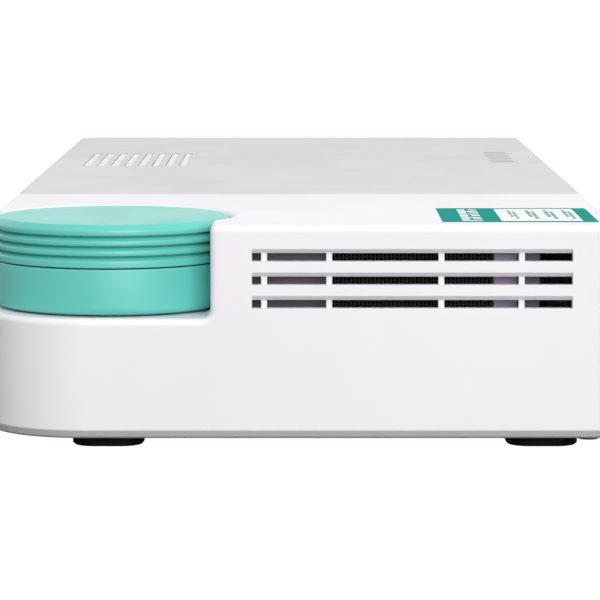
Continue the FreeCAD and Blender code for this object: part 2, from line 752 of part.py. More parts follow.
def make_blower():
    middle = ("blower_x", "blower_y")
    frame = block("blower_block", ("blower_left", "blower_right"), ("blower_front", "blower_rear"),
                  ("blower_low", "blower_high"))
    scroll = rod("blower_scroll_room", "z", middle, "blower_scroll",
                 ("blower_low + blower_wall", "blower_high + 1"))
    mouth = block("blower_mouth", ("blower_left - 1", "blower_x"),
                  ("blower_mouth_front", "blower_mouth_rear"),
                  ("blower_low + blower_wall", "blower_high + 1"))
    intake = rod("blower_intake", "z", middle, "rotor_radius - 6",
                 ("blower_low - 1", "blower_low + blower_wall + 1"))
    holes = [rod(f"blower_hole_{number}", "z", spot, "1.3", ("blower_low - 1", "blower_high + 1"))
             for number, spot in enumerate(blower_spots())]
    piece(cut("blower_frame_final", frame, scroll, mouth, intake, *holes), "blower_frame")

    cover_top = "blower_high + cage_sheet"
    cover = block("blower_plate", ("blower_left", "blower_right"), ("blower_front", "blower_rear"),
                  ("blower_high", cover_top))
    cover_holes = [rod(f"cover_hole_{number}", "z", spot, "1.3", ("blower_high - 1", f"{cover_top} + 1"))
                   for number, spot in enumerate(blower_spots())]
    pin_hole = rod("cover_pin_hole", "z", middle, "1.5", ("blower_high - 1", f"{cover_top} + 1"))
    piece(cut("blower_cover_final", cover, pin_hole, *cover_holes), "blower_cover")

    pin = rod("blower_axle", "z", middle, "1.5", ("blower_low + 4", cover_top))
    piece(pin, "blower_pin")

    motor = rod("motor_body", "z", middle, "6.4", ("blower_low + 5", "blower_high"))
    motor_hole = rod("motor_hole", "z", middle, "1.5", ("blower_low + 4", "blower_high + 1"))
    coils = [block(f"motor_gap_{side}", around("blower_x", half_x), around("blower_y", half_y),
                   ("blower_low + 6.5", "blower_high - 2"))
             for side, half_x, half_y in (("a", "8", "0.8"), ("b", "0.8", "8"))]
    core = rod("motor_core", "z", middle, "3", ("blower_low + 5", "blower_high"))
    ring = cut("motor_slotted", motor, *coils)
    piece(cut("motor_final", fuse("motor_solid", ring, core), motor_hole), "blower_motor")

    make_rotor()
    screws("blower_screws", "z", blower_spots(), "2.4", (cover_top, f"{cover_top} + 0.6"),
           "0.9", ("blower_low - 6", cover_top))


def make_rotor():
    """A cup that opens upwards round the motor, with curved blades and a thin floor under them."""
    body = doc.addObject("PartDesign::Body", "rotor")
    hub = new_sketch(body, "XZ_Plane", "rotor_hub_section")
    bore = "1.5 + pin_clearance"
    polygon(hub, [(bore, "0"), ("rotor_hub", "0"), ("rotor_hub", "11"), ("rotor_hub - 1.4", "11"),
                  ("rotor_hub - 1.4", "2"), (bore, "2")])
    spin = body.newObject("PartDesign::Revolution", "rotor_turn")
    spin.Profile = hub
    spin.ReferenceAxis = (hub, ["V_Axis"])
    spin.Angle = 360
    floor = new_sketch(body, "XY_Plane", "rotor_floor_plan")
    for ring_radius in ("rotor_radius", "rotor_radius - 1.6"):
        circle(floor, ON_AXIS, ON_AXIS, ring_radius)
    ring = body.newObject("PartDesign::Pad", "rotor_ring")
    ring.Profile = floor
    bind(ring, "Length", "1")
    blade_plan = new_sketch(body, "XY_Plane", "rotor_blade_plan")
    polygon(blade_plan, [("rotor_hub - 0.7", "-0.35"), ("rotor_radius - 6", "0.6"),
                         ("rotor_radius - 0.5", "3.4"),
                         ("rotor_radius - 0.7", "4.2"), ("rotor_radius - 6.2", "1.4"),
                         ("rotor_hub - 0.7", "0.35")])
    blade = body.newObject("PartDesign::Pad", "rotor_blade")
    blade.Profile = blade_plan
    bind(blade, "Length", "9.5")
    doc.recompute()
    pattern = body.newObject("PartDesign::PolarPattern", "rotor_blades_round")
    pattern.Originals = [blade]
    pattern.Axis = (blade_plan, ["N_Axis"])
    pattern.Angle = 360
    bind(pattern, "Occurrences", "rotor_blades")
    body.Tip = pattern
    bind(body, "Placement.Base.x", "blower_x")
    bind(body, "Placement.Base.y", "blower_y")
    bind(body, "Placement.Base.z", "blower_low + 2.5")
    piece(body, "blower_rotor")


# ---------------------------------------------------------------------------------------------
# Mainboard and what stands on it
# ---------------------------------------------------------------------------------------------

def standoff_spots():
    spots = [(x, y) for x in ("board_left + 5", "board_right - 5")
             for y in ("board_front + 5", "board_rear - 5")]
    return spots + [("20", "board_front + 5"), ("20", "board_rear - 12")]


def cage_post_spots():
    return [(x, y) for x in ("-55", "86") for y in ("-38", "30")]


def make_board():
    board = block("board_sheet_block", ("board_left", "board_right"), ("board_front", "board_rear"),
                  ("board_low", BOARD_TOP))
    holes = [rod(f"board_hole_{number}", "z", spot, "board_hole", ("board_low - 1", f"{BOARD_TOP} + 1"))
             for number, spot in enumerate(standoff_spots() + cage_post_spots())]
    piece(cut("mainboard_final", board, *holes), "mainboard")

    posts = []
    for number, spot in enumerate(standoff_spots()):
        outside = rod(f"standoff_{number}", "z", spot, "2.6", (SHELL_LOW, "board_low"))
        spigot = rod(f"standoff_spigot_{number}", "z", spot, "1.5", ("foot_height", SHELL_LOW))
        inside = rod(f"standoff_bore_{number}", "z", spot, "1", ("foot_height - 1", "board_low + 1"))
        posts.append(cut(f"standoff_final_{number}", fuse(f"standoff_solid_{number}", outside, spigot),
                         inside))
    piece(group("standoff_group", posts), "board_standoffs")
    screws("board_screws", "z", standoff_spots(), "2.8", (BOARD_TOP, f"{BOARD_TOP} + 1.2"),
           "1", ("board_low - 3", BOARD_TOP))

    chip_top = f"{BOARD_TOP} + 1.2"
    chip = block("processor_base", ("-42", "-18"), ("-12", "12"), (BOARD_TOP, f"{BOARD_TOP} + 0.7"))
    die = block("processor_die", ("-36", "-24"), ("-6", "6"), (f"{BOARD_TOP} + 0.7", chip_top))
    piece(fuse("processor_final", chip, die), "processor")
    make_heatsink(chip_top)

    socket_low = block("memory_socket_block", ("2", "72"), ("8", "16"), (BOARD_TOP, f"{BOARD_TOP} + 4"))
    groove = block("memory_groove", ("3.1", "70.9"), ("7", "13"),
                   (f"{BOARD_TOP} + 1.8", f"{BOARD_TOP} + 3.1"))
    piece(cut("memory_socket_final", socket_low, groove), "memory_socket")
    module = block("memory_plate", ("3.2", "70.8"), ("-17", "13"),
                   (f"{BOARD_TOP} + 1.85", f"{BOARD_TOP} + 3.05"))
    chips = [block(f"memory_chip_{number}", (f"8 + {number} * 15", f"19 + {number} * 15"), ("-12", "1"),
                   (f"{BOARD_TOP} + 3.05", f"{BOARD_TOP} + 4"))
             for number in range(4)]
    piece(fuse("memory_module_final", module, *chips), "memory_module")

    cell_spot = ("110", "-22")
    holder = rod("cell_holder_round", "z", cell_spot, "11.6", (BOARD_TOP, f"{BOARD_TOP} + 4"))
    room = rod("cell_room", "z", cell_spot, "10.2", (f"{BOARD_TOP} + 1", f"{BOARD_TOP} + 5"))
    piece(cut("cell_holder_final", holder, room), "cell_holder")
    piece(rod("cell_round", "z", cell_spot, "10", (f"{BOARD_TOP} + 1", f"{BOARD_TOP} + 4.2")), "coin_cell")

    cans = [rod(f"capacitor_{number}", "z", (f"{x}", f"{y}"), "3.15", (BOARD_TOP, f"{BOARD_TOP} + 8"))
            for number, (x, y) in enumerate(((120, 30), (120, 22), (112, 30), (-57, -20), (-57, 18)))]
    piece(group("capacitor_group", cans), "capacitors")
    coils = [block(f"coil_{number}", around(f"{x}", "3.5"), around(f"{y}", "3.5"),
                   (BOARD_TOP, f"{BOARD_TOP} + 4"))
             for number, (x, y) in enumerate(((104, 6), (113, 6), (122, 6), (-10, -30), (-1, -30)))]
    piece(group("coil_group", coils), "power_coils")


def make_heatsink(low):
    body = doc.addObject("PartDesign::Body", "heatsink_body")
    plan = new_sketch(body, "XY_Plane", "heatsink_plan")
    polygon(plan, [("-21", "-21"), ("21", "-21"), ("21", "21"), ("-21", "21")])
    slab = body.newObject("PartDesign::Pad", "heatsink_slab")
    slab.Profile = plan
    bind(slab, "Length", "2.4")
    fin_plan = new_sketch(body, "XY_Plane", "heatsink_fin_plan")
    polygon(fin_plan, [("-21", "-21"), ("-20", "-21"), ("-20", "21"), ("-21", "21")])
    fin = body.newObject("PartDesign::Pad", "heatsink_fin")
    fin.Profile = fin_plan
    bind(fin, "Length", "11.5")
    doc.recompute()
    pattern = body.newObject("PartDesign::LinearPattern", "heatsink_fins")
    pattern.Originals = [fin]
    pattern.Direction = (fin_plan, ["H_Axis"])
    bind(pattern, "Length", "41")
    pattern.Occurrences = 14
    body.Tip = pattern
    bind(body, "Placement.Base.x", "-30")
    bind(body, "Placement.Base.z", low)
    piece(body, "heatsink")


def make_sockets():
    """The rear sockets: metal cans open to the rear, with the tongue or pin that each plug meets."""
    face = "socket_face"
    for name, (centre, half, tall) in socket_spans().items():
        depth = "14" if "usb" in name or "video" in name or "dc" in name else "21"
        can = block(name + "_can", around(centre, half), (f"{face} - {depth}", face),
                    (BOARD_TOP, f"{BOARD_TOP} + {tall}"))
        if name == "dc_inlet":
            middle = (centre, f"{BOARD_TOP} + 5.5")
            mouth = rod("dc_mouth", "y", middle, "3.1", (f"{face} - 10.5", f"{face} + 1"))
            pin = rod("dc_pin", "y", middle, "1.05", (f"{face} - 11.5", f"{face} - 1"))
            piece(fuse("dc_final", cut("dc_can", can, mouth), pin), name)
        elif name.startswith("lan"):
            room = block(name + "_room", around(centre, "5.9"), (f"{face} - 14", f"{face} + 1"),
                         (f"{BOARD_TOP} + 1.6", f"{BOARD_TOP} + 8.6"))
            catch = block(name + "_catch", around(centre, "3.1"), (f"{face} - 14", f"{face} + 1"),
                          (f"{BOARD_TOP} + 8", f"{BOARD_TOP} + 11"))
            piece(cut(name + "_final", can, room, catch), name)
        else:
            room = block(name + "_room", around(centre, f"{half} - 0.7"), (f"{face} - 12", f"{face} + 1"),
                         (f"{BOARD_TOP} + 0.7", f"{BOARD_TOP} + {tall} - 0.7"))
            tongue = block(name + "_tongue", around(centre, f"{half} - 1.5"),
                           (f"{face} - 12.5", f"{face} - 1"),
                           (f"{BOARD_TOP} + {tall} * 0.5", f"{BOARD_TOP} + {tall} * 0.5 + 1.3"))
            piece(fuse(name + "_final", cut(name + "_shell", can, room), tongue), name)
    face = "-socket_face"
    can = block("usb_front_can", around("114", "7.2"), (face, f"{face} + 14"),
                (BOARD_TOP, f"{BOARD_TOP} + 7"))
    room = block("usb_front_room", around("114", "6.5"), (f"{face} - 1", f"{face} + 12"),
                 (f"{BOARD_TOP} + 0.7", f"{BOARD_TOP} + 6.3"))
    tongue = block("usb_front_tongue", around("114", "5.7"), (f"{face} + 1", f"{face} + 12.5"),
                   (f"{BOARD_TOP} + 3.5", f"{BOARD_TOP} + 4.8"))
    piece(fuse("usb_front_final", cut("usb_front_shell", can, room), tongue), "usb_front_port")

    spot = ("24", "14.6")
    body = block("reset_block", around("24", "3"), ("board_rear - 5", "board_rear - 1"),
                 (BOARD_TOP, f"{BOARD_TOP} + 7"))
    hole = rod("reset_room", "y", spot, "1.15", ("board_rear - 3.4", "board_rear"))
    piece(cut("reset_switch_final", body, hole), "reset_switch")
    piece(rod("reset_stem", "y", spot, "1", ("board_rear - 2.2", "board_rear + 1.6")), "reset_plunger")


# ---------------------------------------------------------------------------------------------
# Front board, buttons and status lights
# ---------------------------------------------------------------------------------------------

def make_front_board():
    rear = "front_board_y + board_sheet"
    board = block("front_sheet", ("front_board_left", "front_board_right"), ("front_board_y", rear),
                  ("19", "40"))
    spots = (("front_board_left + 4", "37"), ("front_board_right - 3.2", "37"))
    holes = [rod(f"front_hole_{number}", "y", spot, "1.1", ("front_board_y - 1", f"{rear} + 1"))
             for number, spot in enumerate(spots)]
    piece(cut("front_board_final", board, *holes), "front_board")
    screws("front_board_screws", "y", spots, "1.9", (rear, f"{rear} + 1"), "0.85",
           ("front_board_y - 3.5", rear))

    for name, x, radius in (("power", "button_x", "button_radius"), ("copy", "copy_x", "copy_radius")):
        spot = (x, "button_height")
        cap = rod(name + "_cap", "y", spot, radius, ("-width / 2 + 0.2", "-width / 2 + wall + 1.6"))
        flange = rod(name + "_flange", "y", spot, f"{radius} + 0.9",
                     ("-width / 2 + wall + 0.2", "-width / 2 + wall + 1.6"))
        piece(fuse(name + "_button_final", cap, flange), name + "_button")
        stem = rod(name + "_stem", "y", spot, "plunger_radius",
                   ("-width / 2 + wall + 1.6", "-width / 2 + wall + 3.4"))
        piece(stem, name + "_plunger")
        body = block(name + "_switch_block", around(x, "3"), ("-width / 2 + wall + 2.8", "front_board_y"),
                     around("button_height", "3"))
        room = rod(name + "_switch_room", "y", spot, "plunger_radius + 0.15",
                   ("-width / 2 + wall + 2", "-width / 2 + wall + 4.6"))
        piece(cut(name + "_switch_final", body, room), name + "_switch")

    guides = []
    lamps = []
    for number in range(4):
        x = f"102.5 + {number} * 4"
        guides.append(rod(f"guide_{number}", "y", (x, "22.5"), "0.95",
                          ("-width / 2 + 0.1", "front_board_y - 1")))
        lamps.append(block(f"lamp_{number}", around(x, "0.8"), ("front_board_y - 0.8", "front_board_y"),
                           around("22.5", "0.5")))
    guides.append(block("guide_bar", ("101", "116"), ("-width / 2 + wall", "-width / 2 + wall + 1"),
                        around("22.5", "1.6")))
    piece(fuse("guide_final", *guides), "light_guides")
    piece(group("lamp_group", lamps), "status_lamps")


# ---------------------------------------------------------------------------------------------
# Drive cage, trays, drives and latches
# ---------------------------------------------------------------------------------------------

def make_cage():
    floor_top = "cage_low + cage_sheet"
    along = ("cage_front", "cage_rear")
    parts = [block("cage_floor", around("cage_centre", "cage_half"), along, ("cage_low", floor_top))]
    for name, shift in (("left", "-1"), ("middle", "0"), ("right", "1")):
        centre = f"cage_centre + {shift} * (cage_half - cage_sheet / 2)"
        parts.append(block(f"cage_wall_{name}", around(centre, "cage_sheet / 2"), along,
                           ("cage_low", "41.2")))
    for number, shift in ((bay, side) for bay in range(2) for side in (-1, 1)):
        centre = f"bay_first_x + {number} * bay_pitch + {shift} * 34.6"
        parts.append(block(f"cage_rail_{number}_{shift + 1}", around(centre, "1.6"),
                           (f"{BEZEL_BACK} + 0.3", "cage_rear"),
                           (f"{floor_top} - 0.2", "tray_floor - 0.1")))
    windows = [block(f"cage_window_{number}", around(f"bay_first_x + {number} * bay_pitch", "24"),
                     (f"{y}", f"{y} + 22"), ("cage_low - 1", f"{floor_top} + 0.2"))
               for number in range(2) for y in (-30, 6)]
    holes = [rod(f"cage_hole_{number}", "z", spot, "1.6", ("cage_low - 1", f"{floor_top} + 0.2"))
             for number, spot in enumerate(cage_post_spots())]
    piece(cut("cage_final", fuse("cage_solid", *parts), *windows, *holes), "drive_cage")

    posts = []
    for number, spot in enumerate(cage_post_spots()):
        column = rod(f"cage_column_{number}", "z", spot, "2.6", (BOARD_TOP, "cage_low"))
        spigot = rod(f"cage_spigot_{number}", "z", spot, "1.6", ("cage_low", floor_top))
        foot = rod(f"cage_post_foot_{number}", "z", spot, "1.6", ("board_low - 1", BOARD_TOP))
        posts.append(fuse(f"cage_post_{number}", column, spigot, foot))
    piece(group("cage_post_group", posts), "cage_posts")

    back = block("backplane_sheet", ("-60", "66"), ("backplane_y", "backplane_y + board_sheet"),
                 ("25", "41"))
    tongue = block("backplane_tongue", ("-44", "4"), ("backplane_y", "backplane_y + board_sheet"),
                   ("12", "26"))
    piece(fuse("backplane_final", back, tongue), "backplane")
    slot = block("backplane_slot_block", ("-48", "8"), ("backplane_y - 2.6", "backplane_y + 4.2"),
                 (BOARD_TOP, "18"))
    groove = block("backplane_groove", ("-44.2", "4.2"),
                   ("backplane_y - 0.05", "backplane_y + board_sheet + 0.05"),
                   ("11.9", "19"))
    piece(cut("backplane_slot_final", slot, groove), "backplane_slot")
    plugs = []
    for bay in BAYS:
        centre = f"bay_first_x + {bay - 1} * bay_pitch - 7"
        plug = block(f"sata_block_{bay}", around(centre, "18"), ("44.2", "backplane_y"), ("28", "34"))
        blade = block(f"sata_blade_{bay}", around(centre, "15"), ("42.9", "45"), ("30.4", "31.8"))
        plugs.append(fuse(f"sata_plug_{bay}", plug, blade))
    piece(group("sata_group", plugs), "sata_connectors")


def make_bay(bay):
    """One drive tray with its bezel, latch lever, latch pin, drive and drive screws."""
    centre = f"bay_first_x + {bay - 1} * bay_pitch"
    outer = ("-width / 2 + 0.1", BEZEL_BACK)
    side = "bay_half - bezel_gap"
    bezel = block(f"bezel_{bay}", around(centre, side), outer,
                  ("bay_low + bezel_gap", "bay_high - bezel_gap"))
    middle = "(bay_low + bay_high) / 2"
    pivot_x = f"{centre} - latch_pivot"
    pivot_y = "-width / 2 + latch_inset + latch_thickness / 2"
    pivot = (pivot_x, pivot_y)
    tip = f"{centre} + latch_reach"
    tall = ("latch_half_height", "latch_half_height + latch_clearance")
    recess = block(f"latch_recess_{bay}", (pivot_x, f"{tip} + latch_clearance + 5"),
                   ("-width / 2 - 1", f"{pivot_y} + 2.2"),
                   around(middle, tall[1]))
    recess_end = rod(f"latch_recess_end_{bay}", "z", pivot, "2.2", around(middle, tall[1]))
    recess_mouth = block(f"latch_recess_mouth_{bay}", (f"{pivot_x} - 2.2", pivot_x),
                         ("-width / 2 - 1", pivot_y),
                         around(middle, tall[1]))
    pin_span = around(middle, f"{tall[1]} + 1.4")
    pin_hole = rod(f"latch_pin_hole_{bay}", "z", pivot, "pin_radius", pin_span)
    vents = [block(f"bezel_vent_{bay}_{number}", around(f"{centre} + 30 + {number} * 2.6", "0.6"),
                   ("-width / 2 - 1", f"{BEZEL_BACK} + 1"), around(middle, "5")) for number in range(3)]
    front = cut(f"bezel_cut_{bay}", bezel, recess, recess_end, recess_mouth, pin_hole, *vents)

    along = (f"{BEZEL_BACK} - 0.5", f"{BEZEL_BACK} + drive_length + 1")
    floor = block(f"tray_floor_{bay}", around(centre, "tray_half"), along,
                  ("tray_floor", "tray_floor + tray_thickness"))
    rails = [block(f"tray_rail_{bay}_{name}", (f"{centre} + {low}", f"{centre} + {high}"), along,
                   ("tray_floor", "tray_floor + tray_rail_height"))
             for name, low, high in (("left", "-tray_half", "-tray_half + tray_rail"),
                                     ("right", "tray_half - tray_rail", "tray_half"))]
    pads = [rod(f"tray_pad_{bay}_{number}", "z", spot, "2.6", ("tray_floor", DRIVE_LOW))
            for number, spot in enumerate(drive_screw_spots(centre))]
    holes = [rod(f"tray_hole_{bay}_{number}", "z", spot, "1.6", ("tray_floor - 1", f"{DRIVE_LOW} + 1"))
             for number, spot in enumerate(drive_screw_spots(centre))]
    sinks = [rod(f"tray_sink_{bay}_{number}", "z", spot, "2.9", ("tray_floor - 1", "tray_floor + 0.7"))
             for number, spot in enumerate(drive_screw_spots(centre))]
    window = block(f"tray_window_{bay}", around(centre, "20"), ("-28", "20"),
                   ("tray_floor - 1", f"{DRIVE_LOW} + 1"))
    tray = fuse(f"tray_solid_{bay}", front, floor, *rails, *pads)
    piece(cut(f"tray_final_{bay}", tray, window, *holes, *sinks), f"tray_{bay}")

    lever = block(f"latch_bar_{bay}", (pivot_x, tip),
                  ("-width / 2 + latch_inset", "-width / 2 + latch_inset + latch_thickness"),
                  around(middle, tall[0]))
    knuckle = rod(f"latch_knuckle_{bay}", "z", pivot, "latch_thickness / 2", around(middle, tall[0]))
    lift = block(f"latch_scoop_{bay}", (f"{tip} - 7", f"{tip} - 2"),
                 ("-width / 2 - 1", "-width / 2 + latch_inset + 1.4"),
                 around(middle, "3.4"))
    bore = rod(f"latch_bore_{bay}", "z", pivot, "pin_radius + pin_clearance", around(middle, tall[1]))
    piece(cut(f"latch_final_{bay}", fuse(f"latch_solid_{bay}", lever, knuckle), lift, bore), f"latch_{bay}")
    piece(rod(f"latch_axle_{bay}", "z", pivot, "pin_radius", pin_span), f"latch_pin_{bay}")

    drive_span = (f"{BEZEL_BACK} + 0.3", f"{BEZEL_BACK} + 0.3 + drive_length")
    case = block(f"drive_case_{bay}", around(centre, "drive_width / 2"), drive_span,
                 (DRIVE_LOW, f"{DRIVE_LOW} + drive_height"))
    plug_room = block(f"drive_plug_room_{bay}", around(f"{centre} - 7", "17"),
                      (f"{drive_span[1]} - 4", f"{drive_span[1]} + 1"), ("29.4", "33.4"))
    tongue = block(f"drive_tongue_{bay}", around(f"{centre} - 7", "15.5"),
                   (f"{drive_span[1]} - 5", f"{drive_span[1]} - 1.5"),
                   ("32.2", "33.6"))
    taps = [rod(f"drive_tap_{bay}_{number}", "z", spot, "1.3", (f"{DRIVE_LOW} - 1", f"{DRIVE_LOW} + 3"))
            for number, spot in enumerate(drive_screw_spots(centre))]
    lid = block(f"drive_lid_{bay}", around(centre, "drive_width / 2 - 3"),
                (f"{drive_span[0]} + 3", f"{drive_span[1]} - 8"),
                (f"{DRIVE_LOW} + drive_height", f"{DRIVE_LOW} + drive_height + 0.4"))
    piece(fuse(f"drive_final_{bay}", cut(f"drive_cut_{bay}", case, plug_room, *taps), tongue, lid),
          f"drive_{bay}")
    screws(f"drive_screws_{bay}", "z", drive_screw_spots(centre), "2.5", ("tray_floor", "tray_floor + 0.7"),
           "1.3", ("tray_floor + 0.7", f"{DRIVE_LOW} + 2.5"))


def drive_screw_spots(centre):
    """The bottom screw holes of a 2.5 inch drive: 61.7 apart across and 76.6 apart along."""
    return [(f"{centre} + {side} * 30.86", f"{BEZEL_BACK} + {y}") for side in (-1, 1)
            for y in ("9.4", "86")]


# ---------------------------------------------------------------------------------------------
# The whole assembly
# ---------------------------------------------------------------------------------------------

make_upper_shell()
make_base_plate()
make_top_panel()
make_label()
make_feet()
make_drum_cap()
make_drum_seam()
make_drum_base()
screws("drum_screws", "z", drum_screw_spots(), "2.6", ("ledge_height - wall - 1.2", "ledge_height - wall"),
       "1.1", ("ledge_height - wall", f"{DRUM_LOW} + drum_wall + 3"))
screws("case_screws", "z", case_boss_spots(), "2.4", ("foot_height - 1", "foot_height"),
       "1.2", ("foot_height", f"{SHELL_LOW} + 10"))
make_blower()
make_board()
make_sockets()
make_front_board()
make_cage()
for bay_number in BAYS:
    make_bay(bay_number)

doc.recompute()
failed = [item.Name for item in doc.Objects if "Invalid" in item.State or "Error" in item.State]
if failed:
    raise RuntimeError(f"these did not build: {failed}")
os.makedirs("parts", exist_ok=True)
for item in PIECES:
    shape = item.Shape
    if shape.isNull() or not shape.isValid() or shape.Volume <= 0:
        raise RuntimeError(f"{item.Label} is not a valid solid")
    shape.exportStep(f"parts/{item.Label}.step")
print(len(PIECES), "pieces")
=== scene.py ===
"""Looks of the flat desktop storage box: materials, turned and printed pieces, light and camera.

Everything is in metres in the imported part's frame: X along the length, -Y the front, Z up.
"""
import json
import math

import bmesh
import bpy
from mathutils import Matrix, Vector


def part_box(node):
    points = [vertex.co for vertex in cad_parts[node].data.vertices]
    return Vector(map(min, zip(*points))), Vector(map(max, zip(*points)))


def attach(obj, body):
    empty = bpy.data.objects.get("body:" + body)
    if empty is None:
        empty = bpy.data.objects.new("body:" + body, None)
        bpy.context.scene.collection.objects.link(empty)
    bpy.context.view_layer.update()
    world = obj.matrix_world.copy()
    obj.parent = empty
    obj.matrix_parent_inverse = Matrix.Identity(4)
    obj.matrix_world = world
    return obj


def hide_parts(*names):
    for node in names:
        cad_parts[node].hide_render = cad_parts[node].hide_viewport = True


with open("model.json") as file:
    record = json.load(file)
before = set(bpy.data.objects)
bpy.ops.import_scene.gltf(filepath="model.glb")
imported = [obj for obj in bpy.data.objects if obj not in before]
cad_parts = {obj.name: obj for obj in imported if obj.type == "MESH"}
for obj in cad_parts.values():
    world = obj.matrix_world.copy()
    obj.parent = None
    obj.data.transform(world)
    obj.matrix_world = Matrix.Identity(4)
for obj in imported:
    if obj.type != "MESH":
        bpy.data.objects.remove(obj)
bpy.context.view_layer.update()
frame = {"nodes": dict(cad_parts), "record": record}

MM = 0.001
HOUSING = "housing"
RING_STEPS = 192


# ---------------------------------------------------------------------------------------------
# Node helpers
# ---------------------------------------------------------------------------------------------

class Shading:
    """One material under construction: short calls that add nodes and join them up."""

    def __init__(self, name):
        self.material = bpy.data.materials.new(name)
        self.material.use_nodes = True
        self.tree = self.material.node_tree
        self.shader = self.tree.nodes["Principled BSDF"]
        self.place = self.add("ShaderNodeTexCoord").outputs["Object"]
        self.rounded = None

    def add(self, kind, inputs=None, **settings):
        node = self.tree.nodes.new(kind)
        for name, value in settings.items():
            setattr(node, name, value)
        for key, value in (inputs or {}).items():
            self.feed(node.inputs[key], value)
        return node

    def feed(self, socket, value):
        if isinstance(value, bpy.types.NodeSocket):
            self.tree.links.new(value, socket)
        else:
            socket.default_value = value

    def stretched(self, x, y, z):
        """Object coordinates scaled along each axis, for brushed or laid patterns."""
        return self.add("ShaderNodeMapping", {"Vector": self.place, "Scale": (x, y, z)}).outputs["Vector"]

    def noise(self, scale, detail=2.0, rough=0.5, place=None):
        inputs = {"Vector": place or self.place, "Scale": scale, "Detail": detail, "Roughness": rough}
        return self.add("ShaderNodeTexNoise", inputs).outputs["Fac"]

    def math(self, operation, first, second):
        return self.add("ShaderNodeMath", {0: first, 1: second}, operation=operation).outputs[0]

    def span(self, value, low, high, out_low=0.0, out_high=1.0):
        inputs = {"Value": value, "From Min": low, "From Max": high, "To Min": out_low, "To Max": out_high}
        return self.add("ShaderNodeMapRange", inputs).outputs["Result"]

    def mix(self, amount, first, second):
        node = self.add("ShaderNodeMix", data_type="RGBA")
        self.feed(node.inputs["Factor"], amount)
        self.feed(node.inputs[6], first)
        self.feed(node.inputs[7], second)
        return node.outputs[2]

    def edges(self, radius):
        """1 on outer edges and 0 on flats: how far a rounded normal leans from the true one."""
        self.rounded = self.add("ShaderNodeBevel", {"Radius": radius}, samples=4).outputs["Normal"]
        true = self.add("ShaderNodeNewGeometry").outputs["Normal"]
        lean = self.add("ShaderNodeVectorMath", {0: self.rounded, 1: true}, operation="DOT_PRODUCT")
        lean = lean.outputs["Value"]
        return self.span(lean, 0.995, 0.8)

    def bump(self, height, strength, distance):
        inputs = {"Height": height, "Strength": strength, "Distance": distance}
        if self.rounded:
            inputs["Normal"] = self.rounded
        self.feed(self.shader.inputs["Normal"], self.add("ShaderNodeBump", inputs).outputs["Normal"])

    def set(self, **values):
        for name, value in values.items():
            self.feed(self.shader.inputs[name.replace("_", " ")], value)
        return self.material


def rgba(red, green, blue):
    """A linear colour from the 0-255 values that a screen shows."""
    def straight(value):
        share = value / 255
        return share / 12.92 if share <= 0.04045 else ((share + 0.055) / 1.055) ** 2.4
    return (straight(red), straight(green), straight(blue), 1.0)


def shade(colour, factor):
    return tuple(min(1.0, part * factor) for part in colour[:3]) + (1.0,)


# ---------------------------------------------------------------------------------------------
# Materials
# ---------------------------------------------------------------------------------------------

def moulded(name, colour, roughness=0.45, grain=0.25, drift=0.03, least_edge_share=0.3, wear_and_shade_tone=1.12, index=1.46):
    """Injection-moulded plastic: fine grain, slow drift of tone, and patchy edges in a tone of their own:
    lighter as wear when that tone is above 1, and darker as painted shade when it is below 1, as on the white
    plastic.
    """
    make = Shading(name)
    drifting = make.span(make.noise(22, 3), 0.3, 0.7)
    grain_height = make.noise(4200, 2.5, 0.6)
    edge = make.edges(0.35 * MM)
    edge_patches = make.span(make.noise(260, 6, 0.7), 0.45, 0.7, least_edge_share, 1.0)
    worn_and_shaded = make.math("MULTIPLY", edge, edge_patches)
    tone = make.mix(drifting, shade(colour, 1 - drift), shade(colour, 1 + drift * 0.5))
    tone = make.mix(make.span(grain_height, 0.35, 0.65, 0.0, 0.06), tone, shade(colour, 0.75))
    # Edge tone: above 1 it lightens worn edges; below 1 it is painted shade on edges, ribs and slit lips.
    tone = make.mix(worn_and_shaded, tone, shade(colour, wear_and_shade_tone))
    handled = make.span(make.noise(60, 5, 0.65), 0.35, 0.7, roughness - 0.05, roughness + 0.06)
    satin = make.math("SUBTRACT", handled, make.math("MULTIPLY", edge, 0.08))
    make.bump(grain_height, grain, 0.03 * MM)
    return make.set(Base_Color=tone, Roughness=satin, IOR=index)


def rubber(name, colour):
    make = Shading(name)
    specks = make.noise(2600, 4, 0.7)
    dust = make.span(make.noise(420, 6, 0.75), 0.55, 0.75, 0.0, 0.25)
    tone = make.mix(dust, colour, shade(colour, 2.0))
    make.bump(specks, 0.5, 0.05 * MM)
    make.set(Specular_IOR_Level=0.16)
    return make.set(Base_Color=tone, Roughness=make.span(specks, 0.3, 0.7, 0.42, 0.6))


def metal(name, colour, roughness=0.32, along=(40, 2600, 2600), pits=0.2):
    """Drawn, rolled or brushed metal: fine lines along one axis and duller handled patches."""
    make = Shading(name)
    lines = make.noise(1.0, 4, 0.6, make.stretched(*along))
    patches = make.noise(90, 5, 0.6)
    tone = make.mix(make.span(lines, 0.35, 0.65), shade(colour, 0.88), shade(colour, 1.06))
    tone = make.mix(make.span(patches, 0.5, 0.8, 0.0, 0.25), tone, shade(colour, 0.7))
    make.bump(lines, pits, 0.02 * MM)
    satin = make.span(patches, 0.3, 0.7, roughness - 0.08, roughness + 0.1)
    return make.set(Base_Color=tone, Roughness=satin, Metallic=1.0)


